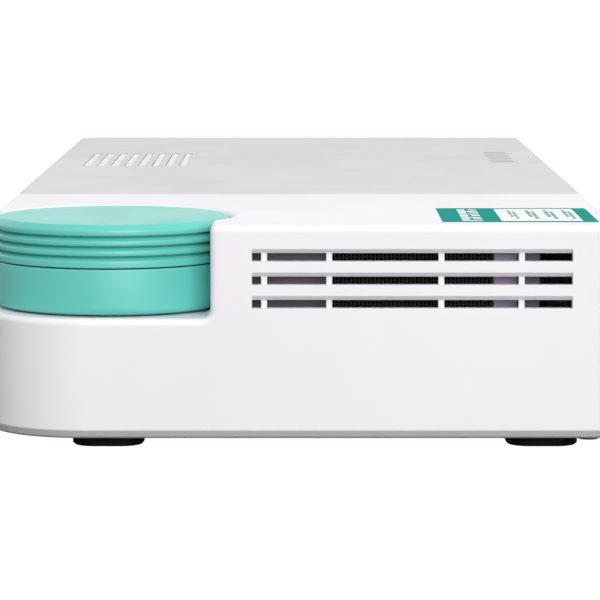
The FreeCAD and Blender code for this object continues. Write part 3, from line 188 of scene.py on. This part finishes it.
def solder_resist(name, colour):
    """Circuit board: resist over copper tracks, with the glass weave showing faintly."""
    make = Shading(name)
    grid = make.add("ShaderNodeTexBrick", {"Vector": make.stretched(240, 240, 240), "Scale": 1.0,
                                           "Mortar Size": 0.06, "Mortar Smooth": 0.4, "Brick Width": 1.7,
                                           "Row Height": 0.33}, offset=0.37)
    tracks = make.span(grid.outputs["Fac"], 0.2, 0.8)
    weave = make.add("ShaderNodeTexWave", {"Vector": make.place, "Scale": 900.0, "Distortion": 1.0})
    tone = make.mix(tracks, colour, shade(colour, 1.8))
    tone = make.mix(make.span(weave.outputs["Fac"], 0, 1, 0.0, 0.08), tone, shade(colour, 0.5))
    make.bump(tracks, 0.3, 0.03 * MM)
    return make.set(Base_Color=tone, Roughness=0.33)


def clear_plastic(name, colour):
    make = Shading(name)
    waves = make.noise(500, 2)
    make.bump(waves, 0.15, 0.03 * MM)
    tone = make.mix(make.span(waves, 0.3, 0.7, 0, 0.2), colour, shade(colour, 0.8))
    return make.set(Base_Color=tone, Roughness=0.12, Transmission_Weight=0.75, IOR=1.49)


def printed(name, colour, roughness=0.6):
    """Screen-printed ink or label film, with the slight tooth of the print."""
    make = Shading(name)
    tooth = make.noise(3000, 3)
    cloudy = make.noise(140, 4)
    tone = make.mix(make.span(cloudy, 0.3, 0.7), shade(colour, 0.96), shade(colour, 1.03))
    make.bump(tooth, 0.12, 0.02 * MM)
    make.set(Specular_IOR_Level=0.0)
    return make.set(Base_Color=tone, Roughness=make.span(tooth, 0.3, 0.7, roughness - 0.04, roughness + 0.05))


def lamp_lens(name, colour):
    make = Shading(name)
    glow = make.span(make.noise(700, 2), 0.3, 0.7, 0.85, 1.0)
    tone = make.mix(glow, shade(colour, 0.6), colour)
    return make.set(Base_Color=tone, Roughness=0.3)


WHITE = rgba(240, 238, 243)
LIGHT_GREY = rgba(214, 208, 216)
BASE_GREY = rgba(170, 164, 172)
TEAL = rgba(96, 203, 192)
LABEL_TEAL = rgba(50, 158, 147)

MATERIALS = {
    # The white plastic's edges darken by 0.88: painted shade on the ribs between the end slits and on the
    # slits' lips.
    "white_plastic": moulded("white_plastic", WHITE, 0.42, wear_and_shade_tone=0.88),
    "light_grey_plastic": moulded("light_grey_plastic", LIGHT_GREY, 0.45, wear_and_shade_tone=1.1),
    "grey_plastic": moulded("grey_plastic", BASE_GREY, 0.5, grain=0.4),
    "grey_frame_plastic": moulded("grey_frame_plastic", rgba(128, 118, 132), 0.5),
    "foam": moulded("foam", rgba(190, 174, 195), 0.8, grain=0.9),
    "screen_wire": moulded("screen_wire", rgba(46, 43, 44), 0.6, grain=0.5),
    "teal_plastic": moulded("teal_plastic", TEAL, 0.38, grain=0.18, wear_and_shade_tone=1.1, index=1.7),
    "dark_teal_plastic": moulded("dark_teal_plastic", rgba(6, 60, 54), 0.5),
    "black_plastic": moulded("black_plastic", rgba(30, 30, 32), 0.45, wear_and_shade_tone=1.8),
    "chip": moulded("chip", rgba(44, 44, 47), 0.55, grain=0.5, wear_and_shade_tone=1.5),
    "black_rubber": rubber("black_rubber", rgba(8, 8, 10)),
    "label": printed("label", LABEL_TEAL),
    "label_white": printed("label_white", rgba(247, 248, 248)),
    "label_ink": printed("label_ink", rgba(120, 176, 166)),
    "grey_ink": printed("grey_ink", rgba(205, 199, 206)),
    "dark_ink": printed("dark_ink", rgba(92, 92, 98)),
    "zinc_steel": metal("zinc_steel", rgba(196, 198, 202), 0.34),
    "sheet_steel": metal("sheet_steel", rgba(190, 191, 194), 0.36, (30, 30, 1800)),
    "bright_steel": metal("bright_steel", rgba(214, 215, 218), 0.2),
    "socket_metal": metal("socket_metal", rgba(205, 205, 208), 0.27, (900, 60, 900)),
    "copper": metal("copper", rgba(190, 112, 66), 0.35, (2600, 2600, 600)),
    "brass": metal("brass", rgba(206, 176, 104), 0.3, (60, 2600, 2600)),
    "gold": metal("gold", rgba(226, 186, 92), 0.25, (60, 2600, 2600)),
    "heatsink_aluminium": metal("heatsink_aluminium", rgba(186, 189, 194), 0.4, (2600, 40, 2600)),
    "can_aluminium": metal("can_aluminium", rgba(208, 210, 214), 0.3),
    "drive_metal": metal("drive_metal", rgba(170, 172, 176), 0.42, (1800, 40, 1800)),
    "board": solder_resist("board", rgba(18, 92, 62)),
    "clear_plastic": clear_plastic("clear_plastic", rgba(236, 240, 242)),
    "lamp": lamp_lens("lamp", rgba(238, 236, 200)),
}


def dress_cad_nodes():
    """Give every CAD node the material of its slot."""
    for entry in frame["record"]["subparts"]:
        node = frame["nodes"][entry["node"]]
        material = MATERIALS[entry["material_slot"]]
        for place in node.material_slots:
            place.material = material


# ---------------------------------------------------------------------------------------------
# Mesh helpers
# ---------------------------------------------------------------------------------------------

def piece_from(name, shape, material, body=HOUSING, smooth=35):
    """A finished mesh object from a bmesh, shaded smooth below an angle in degrees, riding on a body."""
    mesh = bpy.data.meshes.new(name)
    bmesh.ops.recalc_face_normals(shape, faces=shape.faces)
    shape.to_mesh(mesh)
    shape.free()
    mesh.materials.append(MATERIALS[material])
    thing = bpy.data.objects.new(name, mesh)
    bpy.context.scene.collection.objects.link(thing)
    mesh.shade_smooth()
    mesh.set_sharp_from_angle(angle=math.radians(smooth))
    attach(thing, body)
    return thing


def add_slab(shape, low, high, round_by=0.0, steps=3):
    """Add a box with rounded edges to a bmesh."""
    low, high = Vector(low), Vector(high)
    turn = Matrix.Translation((low + high) / 2) @ Matrix.Diagonal((*(high - low), 1.0))
    made = bmesh.ops.create_cube(shape, size=1.0, matrix=turn)
    if round_by:
        edges = {edge for vertex in made["verts"] for edge in vertex.link_edges}
        bmesh.ops.bevel(shape, geom=list(edges), offset=round_by, segments=steps, profile=0.5, affect="EDGES",
                        clamp_overlap=True)


def add_lathe(shape, profile, x, y, steps=RING_STEPS):
    """Add a closed body of revolution: profile points are (radius, height), from axis to axis."""
    rings = []
    for radius, height in profile:
        if radius < 1e-7:
            rings.append([shape.verts.new((x, y, height))])
            continue
        ring = []
        for step in range(steps):
            angle = 2 * math.pi * step / steps
            ring.append(shape.verts.new((x + radius * math.cos(angle), y + radius * math.sin(angle), height)))
        rings.append(ring)
    for lower, upper in zip(rings, rings[1:]):
        for step in range(steps):
            following = (step + 1) % steps
            if len(lower) == 1:
                shape.faces.new((lower[0], upper[step], upper[following]))
            elif len(upper) == 1:
                shape.faces.new((lower[following], lower[step], upper[0]))
            else:
                shape.faces.new((lower[following], lower[step], upper[step], upper[following]))


def arc(centre_radius, centre_height, radius, start, end, steps=6):
    """Profile points on a round, from one angle to another in degrees."""
    points = []
    for step in range(steps + 1):
        angle = math.radians(start + (end - start) * step / steps)
        points.append((centre_radius + radius * math.cos(angle), centre_height + radius * math.sin(angle)))
    return points


def softened(points, reach, steps=4):
    """A profile with its corners rounded; no rounding starts further than reach from its corner."""
    points = [Vector(point) for point in points]
    rounded = [points[0]]
    for before, corner, after in zip(points, points[1:], points[2:]):
        room = min(reach, (before - corner).length / 2.2, (after - corner).length / 2.2)
        start = corner + (before - corner).normalized() * room
        end = corner + (after - corner).normalized() * room
        for step in range(steps + 1):
            share = step / steps
            rounded.append(start * (1 - share) ** 2 + corner * 2 * share * (1 - share) + end * share ** 2)
    rounded.append(points[-1])
    return [tuple(point) for point in rounded]


def scaled(points, base_height=0.0):
    """Profile points from millimetres, with heights counted from a height in metres."""
    return [(radius * MM, base_height + height * MM) for radius, height in points]


# ---------------------------------------------------------------------------------------------
# Drum
# ---------------------------------------------------------------------------------------------

def middle_of(node):
    low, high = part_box(node)
    return (low + high) / 2


def make_drum():
    """The drum's cap with its disc, bevel and three grooves, and the plain lower drum under the seam."""
    low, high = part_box("drum_cap")
    x, y = middle_of("drum_cap")[:2]
    radius = (high.x - low.x) / 2 / MM
    top, seam_top = high.z / MM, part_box("drum_seam")[1].z / MM
    undercut, first, pitch, slope, wall, root = 1.3, 2.2, 2.0, 1.05, 2.5, 0.3
    outline = [(0, top), (radius - 1, top), (radius, top - 1.2)]
    for ring in range(3):
        edge = top - first - ring * pitch
        outline += [(radius, edge), (radius - undercut, edge), (radius - undercut, edge - root),
                    (radius, edge - slope)]
    outline.append((radius, seam_top))
    outline = softened(outline, 0.2)
    inner = radius - wall
    outline += [(inner, seam_top), (inner, top - wall), (0, top - wall)]
    cap = bmesh.new()
    add_lathe(cap, scaled(outline), x, y)
    cap = piece_from("drum_cap_turned", cap, "teal_plastic", smooth=50)
    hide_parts("drum_cap")

    low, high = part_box("drum_base")
    foot_radius, seam = radius - 4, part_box("drum_seam")[0].z / MM
    stand, under = low.z / MM, low.z / MM + 0.4
    outline = [(0, under), (foot_radius - 1.5, under), (foot_radius - 1.5, stand), (foot_radius, stand),
               (foot_radius, under)]
    outline += arc(radius - 1.4, under + 1.4, 1.4, -90, 0, 8)
    outline += softened([(radius, under + 1.5), (radius, seam), (radius - 1, seam)], 0.15)
    outline += [(inner - 0.1, seam), (inner - 0.1, high.z / MM), (inner - 1.3, high.z / MM),
                (inner - 1.3, under + wall), (0, under + wall)]
    base = bmesh.new()
    add_lathe(base, scaled(outline), x, y)
    base = piece_from("drum_base_turned", base, "teal_plastic", smooth=50)
    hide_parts("drum_base")


# ---------------------------------------------------------------------------------------------
# Screws
# ---------------------------------------------------------------------------------------------

def lumps_of(node):
    """The separate lumps of a node's mesh, as (low, high) corners."""
    mesh = frame["nodes"][node].data
    leader = list(range(len(mesh.vertices)))

    def lead(index):
        while leader[index] != index:
            leader[index] = leader[leader[index]]
            index = leader[index]
        return index

    for edge in mesh.edges:
        first, second = edge.vertices
        leader[lead(first)] = lead(second)
    by_place = {}
    for vertex in mesh.vertices:
        key = tuple(round(part, 6) for part in vertex.co)
        if key in by_place:
            leader[lead(vertex.index)] = lead(by_place[key])
        by_place[key] = vertex.index
    groups = {}
    for vertex in mesh.vertices:
        groups.setdefault(lead(vertex.index), []).append(vertex.co)
    return [tuple(Vector(pick(point[axis] for point in points) for axis in range(3)) for pick in (min, max))
            for points in groups.values()]


def add_screw(shape, seat, tip, head_radius, head_height, shank_radius):
    """A pan-head screw from its seat to its tip, with a cross recess sunk into the head."""
    seat, tip = Vector(seat), Vector(tip)
    out = (seat - tip).normalized()
    turn = out.to_track_quat("Z", "Y").to_matrix().to_4x4()
    turn.translation = seat
    length = (seat - tip).length
    steps = 28
    arm, half = head_radius * 0.55, head_radius * 0.13
    cross = [(arm, -half), (arm, half), (half, half), (half, arm), (-half, arm), (-half, half), (-arm, half),
             (-arm, -half), (-half, -half), (-half, -arm), (half, -arm), (half, -half)]

    def ring(radius, height):
        return [shape.verts.new(turn @ Vector((radius * math.cos(2 * math.pi * step / steps),
                                               radius * math.sin(2 * math.pi * step / steps), height)))
                for step in range(steps)]

    def wall(lower, upper):
        for step in range(len(lower)):
            following = (step + 1) % len(lower)
            shape.faces.new((lower[step], lower[following], upper[following], upper[step]))

    profile = [(0.02 * shank_radius, -length), (shank_radius * 0.6, -length + shank_radius * 0.2)]
    turns = max(2, int(length / (shank_radius * 0.7)))
    for number in range(turns):
        height = -length + shank_radius * 0.5 + (length - shank_radius * 0.5) * number / turns
        profile += [(shank_radius * 0.84, height), (shank_radius, height + shank_radius * 0.2)]
    profile += [(shank_radius * 0.9, 0), (head_radius * 0.97, 0), (head_radius, head_height * 0.12),
                (head_radius, head_height * 0.55), (head_radius * 0.94, head_height * 0.82),
                (head_radius * 0.82, head_height)]
    rings = [ring(*point) for point in profile]
    for lower, upper in zip(rings, rings[1:]):
        wall(lower, upper)
    shape.faces.new(list(reversed(rings[0])))
    mouth = [shape.verts.new(turn @ Vector((across, along, head_height))) for across, along in cross]
    floor = [shape.verts.new(turn @ Vector((across * 0.8, along * 0.8, head_height * 0.35)))
             for across, along in cross]
    wall(floor, mouth)
    shape.faces.new(floor)
    loops = []
    for loop in (rings[-1], mouth):
        for step, vertex in enumerate(loop):
            following = loop[(step + 1) % len(loop)]
            loops.append(shape.edges.get((vertex, following)) or shape.edges.new((vertex, following)))
    bmesh.ops.triangle_fill(shape, edges=loops, use_beauty=True)


def make_screws():
    """Screws with ringed shanks and crossed heads in place of the plain ones."""
    sets = {"case_screws": (2, -1, 1.0, 1.2), "board_screws": (2, 1, 1.2, 1.0),
            "blower_screws": (2, 1, 0.6, 0.9), "drive_screws_1": (2, -1, 0.7, 1.3),
            "drive_screws_2": (2, -1, 0.7, 1.3), "front_board_screws": (1, 1, 1.0, 0.85),
            "drum_screws": (2, -1, 1.2, 1.1)}
    for node, (axis, head_side, head_height, shank_radius) in sets.items():
        shape = bmesh.new()
        for low, high in lumps_of(node):
            head_radius = (high.x - low.x) / 2
            middle = (low + high) / 2
            seat, tip = middle.copy(), middle.copy()
            if head_side > 0:
                seat[axis], tip[axis] = high[axis] - head_height * MM, low[axis]
            else:
                seat[axis], tip[axis] = low[axis] + head_height * MM, high[axis]
            add_screw(shape, seat, tip, head_radius, head_height * MM, shank_radius * MM)
        body = "tray_" + node[-1] if node.startswith("drive") else HOUSING
        screws = piece_from(node + "_threaded", shape, "zinc_steel", body=body, smooth=40)
        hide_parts(node)


# ---------------------------------------------------------------------------------------------
# Printing
# ---------------------------------------------------------------------------------------------

def make_label():
    """A teal film with plain blocks in its header, and a white field with four rows of plain bars."""
    low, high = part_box("label_sticker")
    length, width = high.x - low.x, high.y - low.y

    def bar(shape, x_span, y_span, layer, thickness=0.022):
        """x runs from the near edge inwards and y from the header's end, both as shares of the label."""
        near, far = (low.x + share * length for share in x_span)
        rear, front = (high.y - share * width for share in y_span)
        bottom = low.z + layer * MM
        add_slab(shape, (near, front, bottom), (far, rear, bottom + thickness * MM), 0.006 * MM, 1)

    film = bmesh.new()
    bar(film, (0, 1), (0, 1), 0.0, 0.04)
    film = piece_from("label_film", film, "label")
    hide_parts("label_sticker")
    field = bmesh.new()
    bar(field, (0.07, 0.93), (0.383, 0.905), 0.04)
    start = 0.08
    for number, stroke in enumerate((0.05, 0.09, 0.05, 0.12, 0.04, 0.08, 0.05, 0.09)):
        if number % 2:
            bar(field, (start, start + stroke), (0.134, 0.185), 0.04)
            bar(field, (start + stroke * 0.4, start + stroke), (0.21, 0.264), 0.04)
        else:
            bar(field, (start, start + stroke), (0.134, 0.264), 0.04)
        start += stroke + 0.035
    piece_from("label_field", field, "label_white")
    ink = bmesh.new()
    for first, last in ((0.462, 0.509), (0.581, 0.639), (0.70, 0.762), (0.823, 0.877)):
        middle = (first + last) / 2
        for low_end, high_end, y_span in ((0.36, 0.83, (first, middle - 0.004)),
                                          (0.22, 0.74, (middle + 0.004, last))):
            start = low_end
            for dash in (0.11, 0.05, 0.16, 0.07, 0.12):
                end = min(start + dash, high_end)
                if start < end:
                    bar(ink, (start, end), y_span, 0.062, 0.012)
                start += dash + 0.022
    piece_from("label_bars", ink, "label_ink")


def make_panel_mark():
    """A faint plain mark printed on the grey panel near its front edge."""
    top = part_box("top_panel")[1].z
    start, pitch, width, front, rear = 38, 11, 7.5, -55.1, -49.1
    shape = bmesh.new()
    for number in range(4):
        x = (start + number * pitch) * MM
        add_slab(shape, (x, front * MM, top), (x + width * MM, rear * MM, top + 0.015 * MM), 0.004 * MM, 1)
    piece_from("panel_mark", shape, "grey_ink")


def make_drive_labels():
    """A paper label with plain bars on each drive's lid; it slides out with its tray."""
    for bay in ("1", "2"):
        low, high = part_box("drive_" + bay)
        middle = (low + high) / 2
        top = high.z
        half_width, to_front, to_rear = 24 * MM, 30 * MM, 26 * MM
        ink_low, ink_high = top + 0.055 * MM, top + 0.075 * MM
        paper = bmesh.new()
        add_slab(paper, (middle.x - half_width, middle.y - to_front, top),
                 (middle.x + half_width, middle.y + to_rear, top + 0.06 * MM), 0.015 * MM, 1)
        piece_from("drive_label_" + bay, paper, "label_white", body="tray_" + bay)
        ink = bmesh.new()
        for number, reach in enumerate((38, 22, 30, 18, 34)):
            y = middle.y + (20 - number * 6) * MM
            add_slab(ink, (middle.x - 20 * MM, y - 1.4 * MM, ink_low),
                     (middle.x + (reach - 20) * MM, y + 0.6 * MM, ink_high))
        for number in range(16):
            x = middle.x + (-19 + number * 1.9) * MM
            add_slab(ink, (x, middle.y - 27 * MM, ink_low),
                     (x + (0.5 + 0.6 * (number % 3)) * MM, middle.y - 18 * MM, ink_high))
        piece_from("drive_ink_" + bay, ink, "dark_ink", body="tray_" + bay)


# ---------------------------------------------------------------------------------------------
# Sockets, buttons, lever ridges and the blower's mouth
# ---------------------------------------------------------------------------------------------

def add_tilted(shape, start, end, width, thickness):
    """A flat bar from one point to another in a plane of constant X."""
    start, end = Vector(start), Vector(end)
    along = end - start
    angle = math.atan2(along.z, along.y)
    turn = (Matrix.Translation((start + end) / 2) @ Matrix.Rotation(angle, 4, "X")
            @ Matrix.Diagonal((width, along.length, thickness, 1.0)))
    bmesh.ops.create_cube(shape, size=1.0, matrix=turn)


def make_sockets():
    """Black liners in the network sockets, dark tongues in the others, and gold contacts in all."""
    contacts = bmesh.new()
    liners = bmesh.new()
    thin = 0.3 * MM
    notch_centre, notch_half = 4.5 * MM, 1.35 * MM
    pin_pitch, pin_width = 1.02, 0.42
    for name in ("lan_jack_1", "lan_jack_2"):
        low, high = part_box(name)
        x = (low.x + high.x) / 2
        left, right, back, face = x - 5.9 * MM, x + 5.9 * MM, high.y - 14 * MM, high.y - 0.4 * MM
        floor, roof = low.z + 1.6 * MM, low.z + 8.6 * MM
        add_slab(liners, (left, back, floor), (left + thin, face, roof))
        add_slab(liners, (right - thin, back, floor), (right, face, roof))
        add_slab(liners, (left + thin, back, floor), (right - thin, face, floor + thin))
        add_slab(liners, (left + thin, back, floor + thin), (right - thin, back + thin, roof))
        for side in (-1, 1):
            add_slab(liners, (x + side * notch_centre - notch_half, back + thin, roof - thin),
                     (x + side * notch_centre + notch_half, face, roof))
        for number in range(8):
            pin = x + (number - 3.5) * pin_pitch * MM
            add_tilted(contacts, (pin, face - 1.2 * MM, floor + 0.6 * MM),
                       (pin, face - 10 * MM, floor + 3 * MM), pin_width * MM, thin)
    ports = (("usb_rear_port", 1, 4, 2.3, 1.1), ("video_port", 1, 10, 1.0, 0.5),
             ("usb_front_port", -1, 4, 2.3, 1.1))
    for name, side, pins, pitch, width in ports:
        low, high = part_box(name)
        x = (low.x + high.x) / 2
        half = (high.x - low.x) / 2 - 1.45 * MM
        face = high.y if side > 0 else -low.y
        under = low.z + (high.z - low.z) * 0.5
        ends = sorted((side * (face - 11.95 * MM), side * (face - 0.95 * MM)))
        add_slab(liners, (x - half, ends[0], under - 0.05 * MM),
                 (x + half, ends[1], under + 1.35 * MM), 0.2 * MM)
        ends = sorted((side * (face - 10 * MM), side * (face - 1.8 * MM)))
        for number in range(pins):
            pin = x + (number - (pins - 1) / 2) * pitch * MM
            add_slab(contacts, (pin - width / 2 * MM, ends[0], under - 0.1 * MM),
                     (pin + width / 2 * MM, ends[1], under), 0.03 * MM, 1)
    low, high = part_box("dc_inlet")
    sleeve = bmesh.new()
    middle = Vector(((low.x + high.x) / 2, high.y - 6.2 * MM, low.z + 5.5 * MM))
    turn = Matrix.Translation(middle) @ Matrix.Rotation(math.radians(-90), 4, "X")
    bmesh.ops.create_cone(sleeve, cap_ends=True, segments=40, radius1=1.12 * MM, radius2=1.12 * MM,
                          depth=10.4 * MM, matrix=turn)
    bmesh.ops.bevel(sleeve, geom=[edge for edge in sleeve.edges if len(edge.link_faces) == 2
                                  and edge.calc_face_angle() > 1.2],
                    offset=0.3 * MM, segments=3, profile=0.5, affect="EDGES")
    piece_from("inlet_pin", sleeve, "bright_steel")
    piece_from("socket_liners", liners, "black_plastic")
    piece_from("socket_contacts", contacts, "gold")


def turned_along_y(profile, x, y, z, steps=96):
    """A closed body turned about a line along Y: profile points are (radius, distance towards -Y)."""
    shape = bmesh.new()
    add_lathe(shape, profile, 0, 0, steps)
    turn = Matrix.Translation((x, y, z)) @ Matrix.Rotation(math.radians(90), 4, "X")
    bmesh.ops.transform(shape, matrix=turn, verts=shape.verts)
    return shape


def add_ring_part(shape, x, y, z, inner, outer, start, end, thickness, steps=40):
    """A flat part of a ring that faces -Y, between two angles in degrees."""
    sections = []
    outline = ((inner, 0), (outer, 0), (outer, thickness), (inner, thickness))
    for step in range(steps + 1):
        angle = math.radians(start + (end - start) * step / steps)
        across, up = math.cos(angle), math.sin(angle)
        sections.append([shape.verts.new((x + radius * across, y - depth, z + radius * up))
                         for radius, depth in outline])
    for before, after in zip(sections, sections[1:]):
        for corner in range(4):
            following = (corner + 1) % 4
            shape.faces.new((before[corner], after[corner], after[following], before[following]))
    shape.faces.new(sections[0])
    shape.faces.new(list(reversed(sections[-1])))


def make_buttons():
    """Dished button caps with a plain power symbol and a plain symbol of two overlapping sheets."""
    for node in ("power_button", "copy_button"):
        low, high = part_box(node)
        x, z = (low.x + high.x) / 2, (low.z + high.z) / 2
        flange = (high.x - low.x) / 2 / MM
        radius, depth = flange - 0.9, (high.y - low.y) / MM
        collar = 1.4
        profile = [(0, 0), (flange, 0), (flange, collar), (radius, collar), (radius, depth),
                   (radius * 0.82, depth), (radius * 0.7, depth - 0.18), (0, depth - 0.3)]
        shape = turned_along_y(scaled(softened(profile, 0.25)), x, high.y, z)
        cap = piece_from(node + "_turned", shape, "light_grey_plastic", body=node, smooth=50)
        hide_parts(node)
        face = high.y - (depth - 0.32) * MM
        ink = bmesh.new()
        if node == "power_button":
            add_ring_part(ink, x, face, z, 1.75 * MM, 2.2 * MM, 122, 418, 0.1 * MM)
            add_slab(ink, (x - 0.23 * MM, face - 0.1 * MM, z + 0.7 * MM), (x + 0.23 * MM, face, z + 2.6 * MM))
        else:
            for shift in (-0.35, 0.35):
                for first, last in (((-0.9, -0.9), (0.9, -0.68)), ((-0.9, 0.68), (0.9, 0.9)),
                                    ((-0.9, -0.68), (-0.68, 0.68)), ((0.68, -0.68), (0.9, 0.68))):
                    add_slab(ink, (x + (first[0] + shift) * MM, face - 0.1 * MM, z + (first[1] - shift) * MM),
                             (x + (last[0] + shift) * MM, face, z + (last[1] - shift) * MM))
        piece_from(node + "_symbol", ink, "dark_ink", body=node)


def make_latch_ridges():
    """Five low grip ridges beside the scoop of each tray's lever."""
    start, pitch, width = 10, 1.5, 0.7
    half_height, proud, sunk = 2.8 * MM, 0.14 * MM, 0.1 * MM
    for bay in ("1", "2"):
        low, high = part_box("latch_" + bay)
        middle = (low.z + high.z) / 2
        shape = bmesh.new()
        for number in range(5):
            x = high.x - (start + number * pitch) * MM
            add_slab(shape, (x, low.y - proud, middle - half_height),
                     (x + width * MM, low.y + sunk, middle + half_height), 0.1 * MM, 2)
        piece_from("latch_ridges_" + bay, shape, "teal_plastic", body="latch_" + bay)


def make_blower_mouth():
    """A foam strip on the blower's end wall and a dust screen across its mouth, behind the slits."""
    low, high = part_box("blower_frame")
    foam = bmesh.new()
    add_slab(foam, (low.x - 0.7 * MM, low.y + 4.6 * MM, low.z + 0.4 * MM),
             (low.x, low.y + 9.2 * MM, high.z - 0.4 * MM), 0.2 * MM)
    piece_from("blower_gasket", foam, "foam")
    screen_start, mouth_end = low.y + 9.5 * MM, low.y + 42.5 * MM
    wire_pitch = 0.8
    screen = bmesh.new()
    count = int((mouth_end - screen_start) / (wire_pitch * MM))
    for number in range(count):
        y = screen_start + number * wire_pitch * MM
        add_slab(screen, (low.x + 0.5 * MM, y, low.z + 1.6 * MM),
                 (low.x + 0.9 * MM, y + 0.4 * MM, high.z - 0.6 * MM))
    for number in range(15):
        z = low.z + (1.8 + number * wire_pitch) * MM
        add_slab(screen, (low.x + 0.6 * MM, screen_start, z), (low.x + 1.0 * MM, mouth_end, z + 0.3 * MM))
    piece_from("blower_dust_screen", screen, "screen_wire")


# ---------------------------------------------------------------------------------------------
# Stage, lights and camera
# ---------------------------------------------------------------------------------------------

def floor_finish():
    """White where the camera sees it, and to all other light a grey that reflects about 16 per cent."""
    make = Shading("floor_white")
    cloudy = make.noise(2.0, 3)
    tone = make.mix(make.span(cloudy, 0.3, 0.7), (0.15, 0.15, 0.15, 1), (0.17, 0.17, 0.17, 1))
    seen = make.add("ShaderNodeLightPath").outputs["Is Camera Ray"]
    make.set(Emission_Color=(1, 1, 1, 1), Emission_Strength=seen)
    return make.set(Base_Color=tone, Roughness=0.8)


def make_stage():
    """One large flat floor under the object."""
    shape = bmesh.new()
    bmesh.ops.create_grid(shape, x_segments=4, y_segments=4, size=12)
    mesh = bpy.data.meshes.new("floor")
    shape.to_mesh(mesh)
    shape.free()
    mesh.materials.append(floor_finish())
    floor = bpy.data.objects.new("floor", mesh)
    bpy.context.scene.collection.objects.link(floor)


def make_world():
    """An even white studio, brighter towards the backdrop behind the object."""
    world = bpy.data.worlds.new("studio")
    bpy.context.scene.world = world
    world.use_nodes = True
    tree = world.node_tree
    background = tree.nodes["Background"]
    place = tree.nodes.new("ShaderNodeTexCoord")
    split = tree.nodes.new("ShaderNodeSeparateXYZ")
    tree.links.new(place.outputs["Generated"], split.inputs[0])
    ramp = tree.nodes.new("ShaderNodeMapRange")
    for name, value in (("From Min", 0.2), ("From Max", 0.9), ("To Min", 0.67), ("To Max", 1.15)):
        ramp.inputs[name].default_value = value
    tree.links.new(split.outputs["X"], ramp.inputs["Value"])
    tree.links.new(ramp.outputs["Result"], background.inputs["Strength"])
    background.inputs["Color"].default_value = (1.0, 0.995, 1.0, 1.0)


def add_softbox(name, place, target, size, power):
    light = bpy.data.lights.new(name, "AREA")
    light.shape = "RECTANGLE"
    light.size, light.size_y = size
    light.energy = power
    lamp = bpy.data.objects.new(name, light)
    lamp.location = place
    lamp.rotation_euler = (Vector(target) - Vector(place)).to_track_quat("-Z", "Y").to_euler()
    bpy.context.scene.collection.objects.link(lamp)


def make_lights():
    """A large soft light beyond the near end, and a smaller and weaker one in front."""
    add_softbox("key", (-1.12, -0.24, 0.48), (-0.12, 0, 0.03), (0.7, 0.7), 8.2)
    add_softbox("side", (-0.45, -1.2, 0.45), (-0.12, 0, 0.03), (0.5, 0.5), 2.2)


def make_camera():
    """A long lens 0.61 m from the near end, 54 mm above the top, tilted down by about 6.5 degrees."""
    tilt_down = 0.1126
    lens = bpy.data.cameras.new("camera")
    lens.lens = 186.465
    lens.sensor_width = 36
    lens.clip_start = 0.01
    lens.clip_end = 60
    camera = bpy.data.objects.new("camera", lens)
    camera.location = (-0.75665, -0.00011, 0.09937)
    camera.rotation_euler = (math.pi / 2 - tilt_down, 0, -math.pi / 2)
    bpy.context.scene.collection.objects.link(camera)
    bpy.context.scene.camera = camera


dress_cad_nodes()
make_drum()
make_screws()
make_sockets()
make_buttons()
make_drive_labels()
make_blower_mouth()
make_latch_ridges()
make_label()
make_panel_mark()
make_stage()
make_world()
make_lights()
make_camera()
bpy.context.scene.view_settings.view_transform = "Standard"
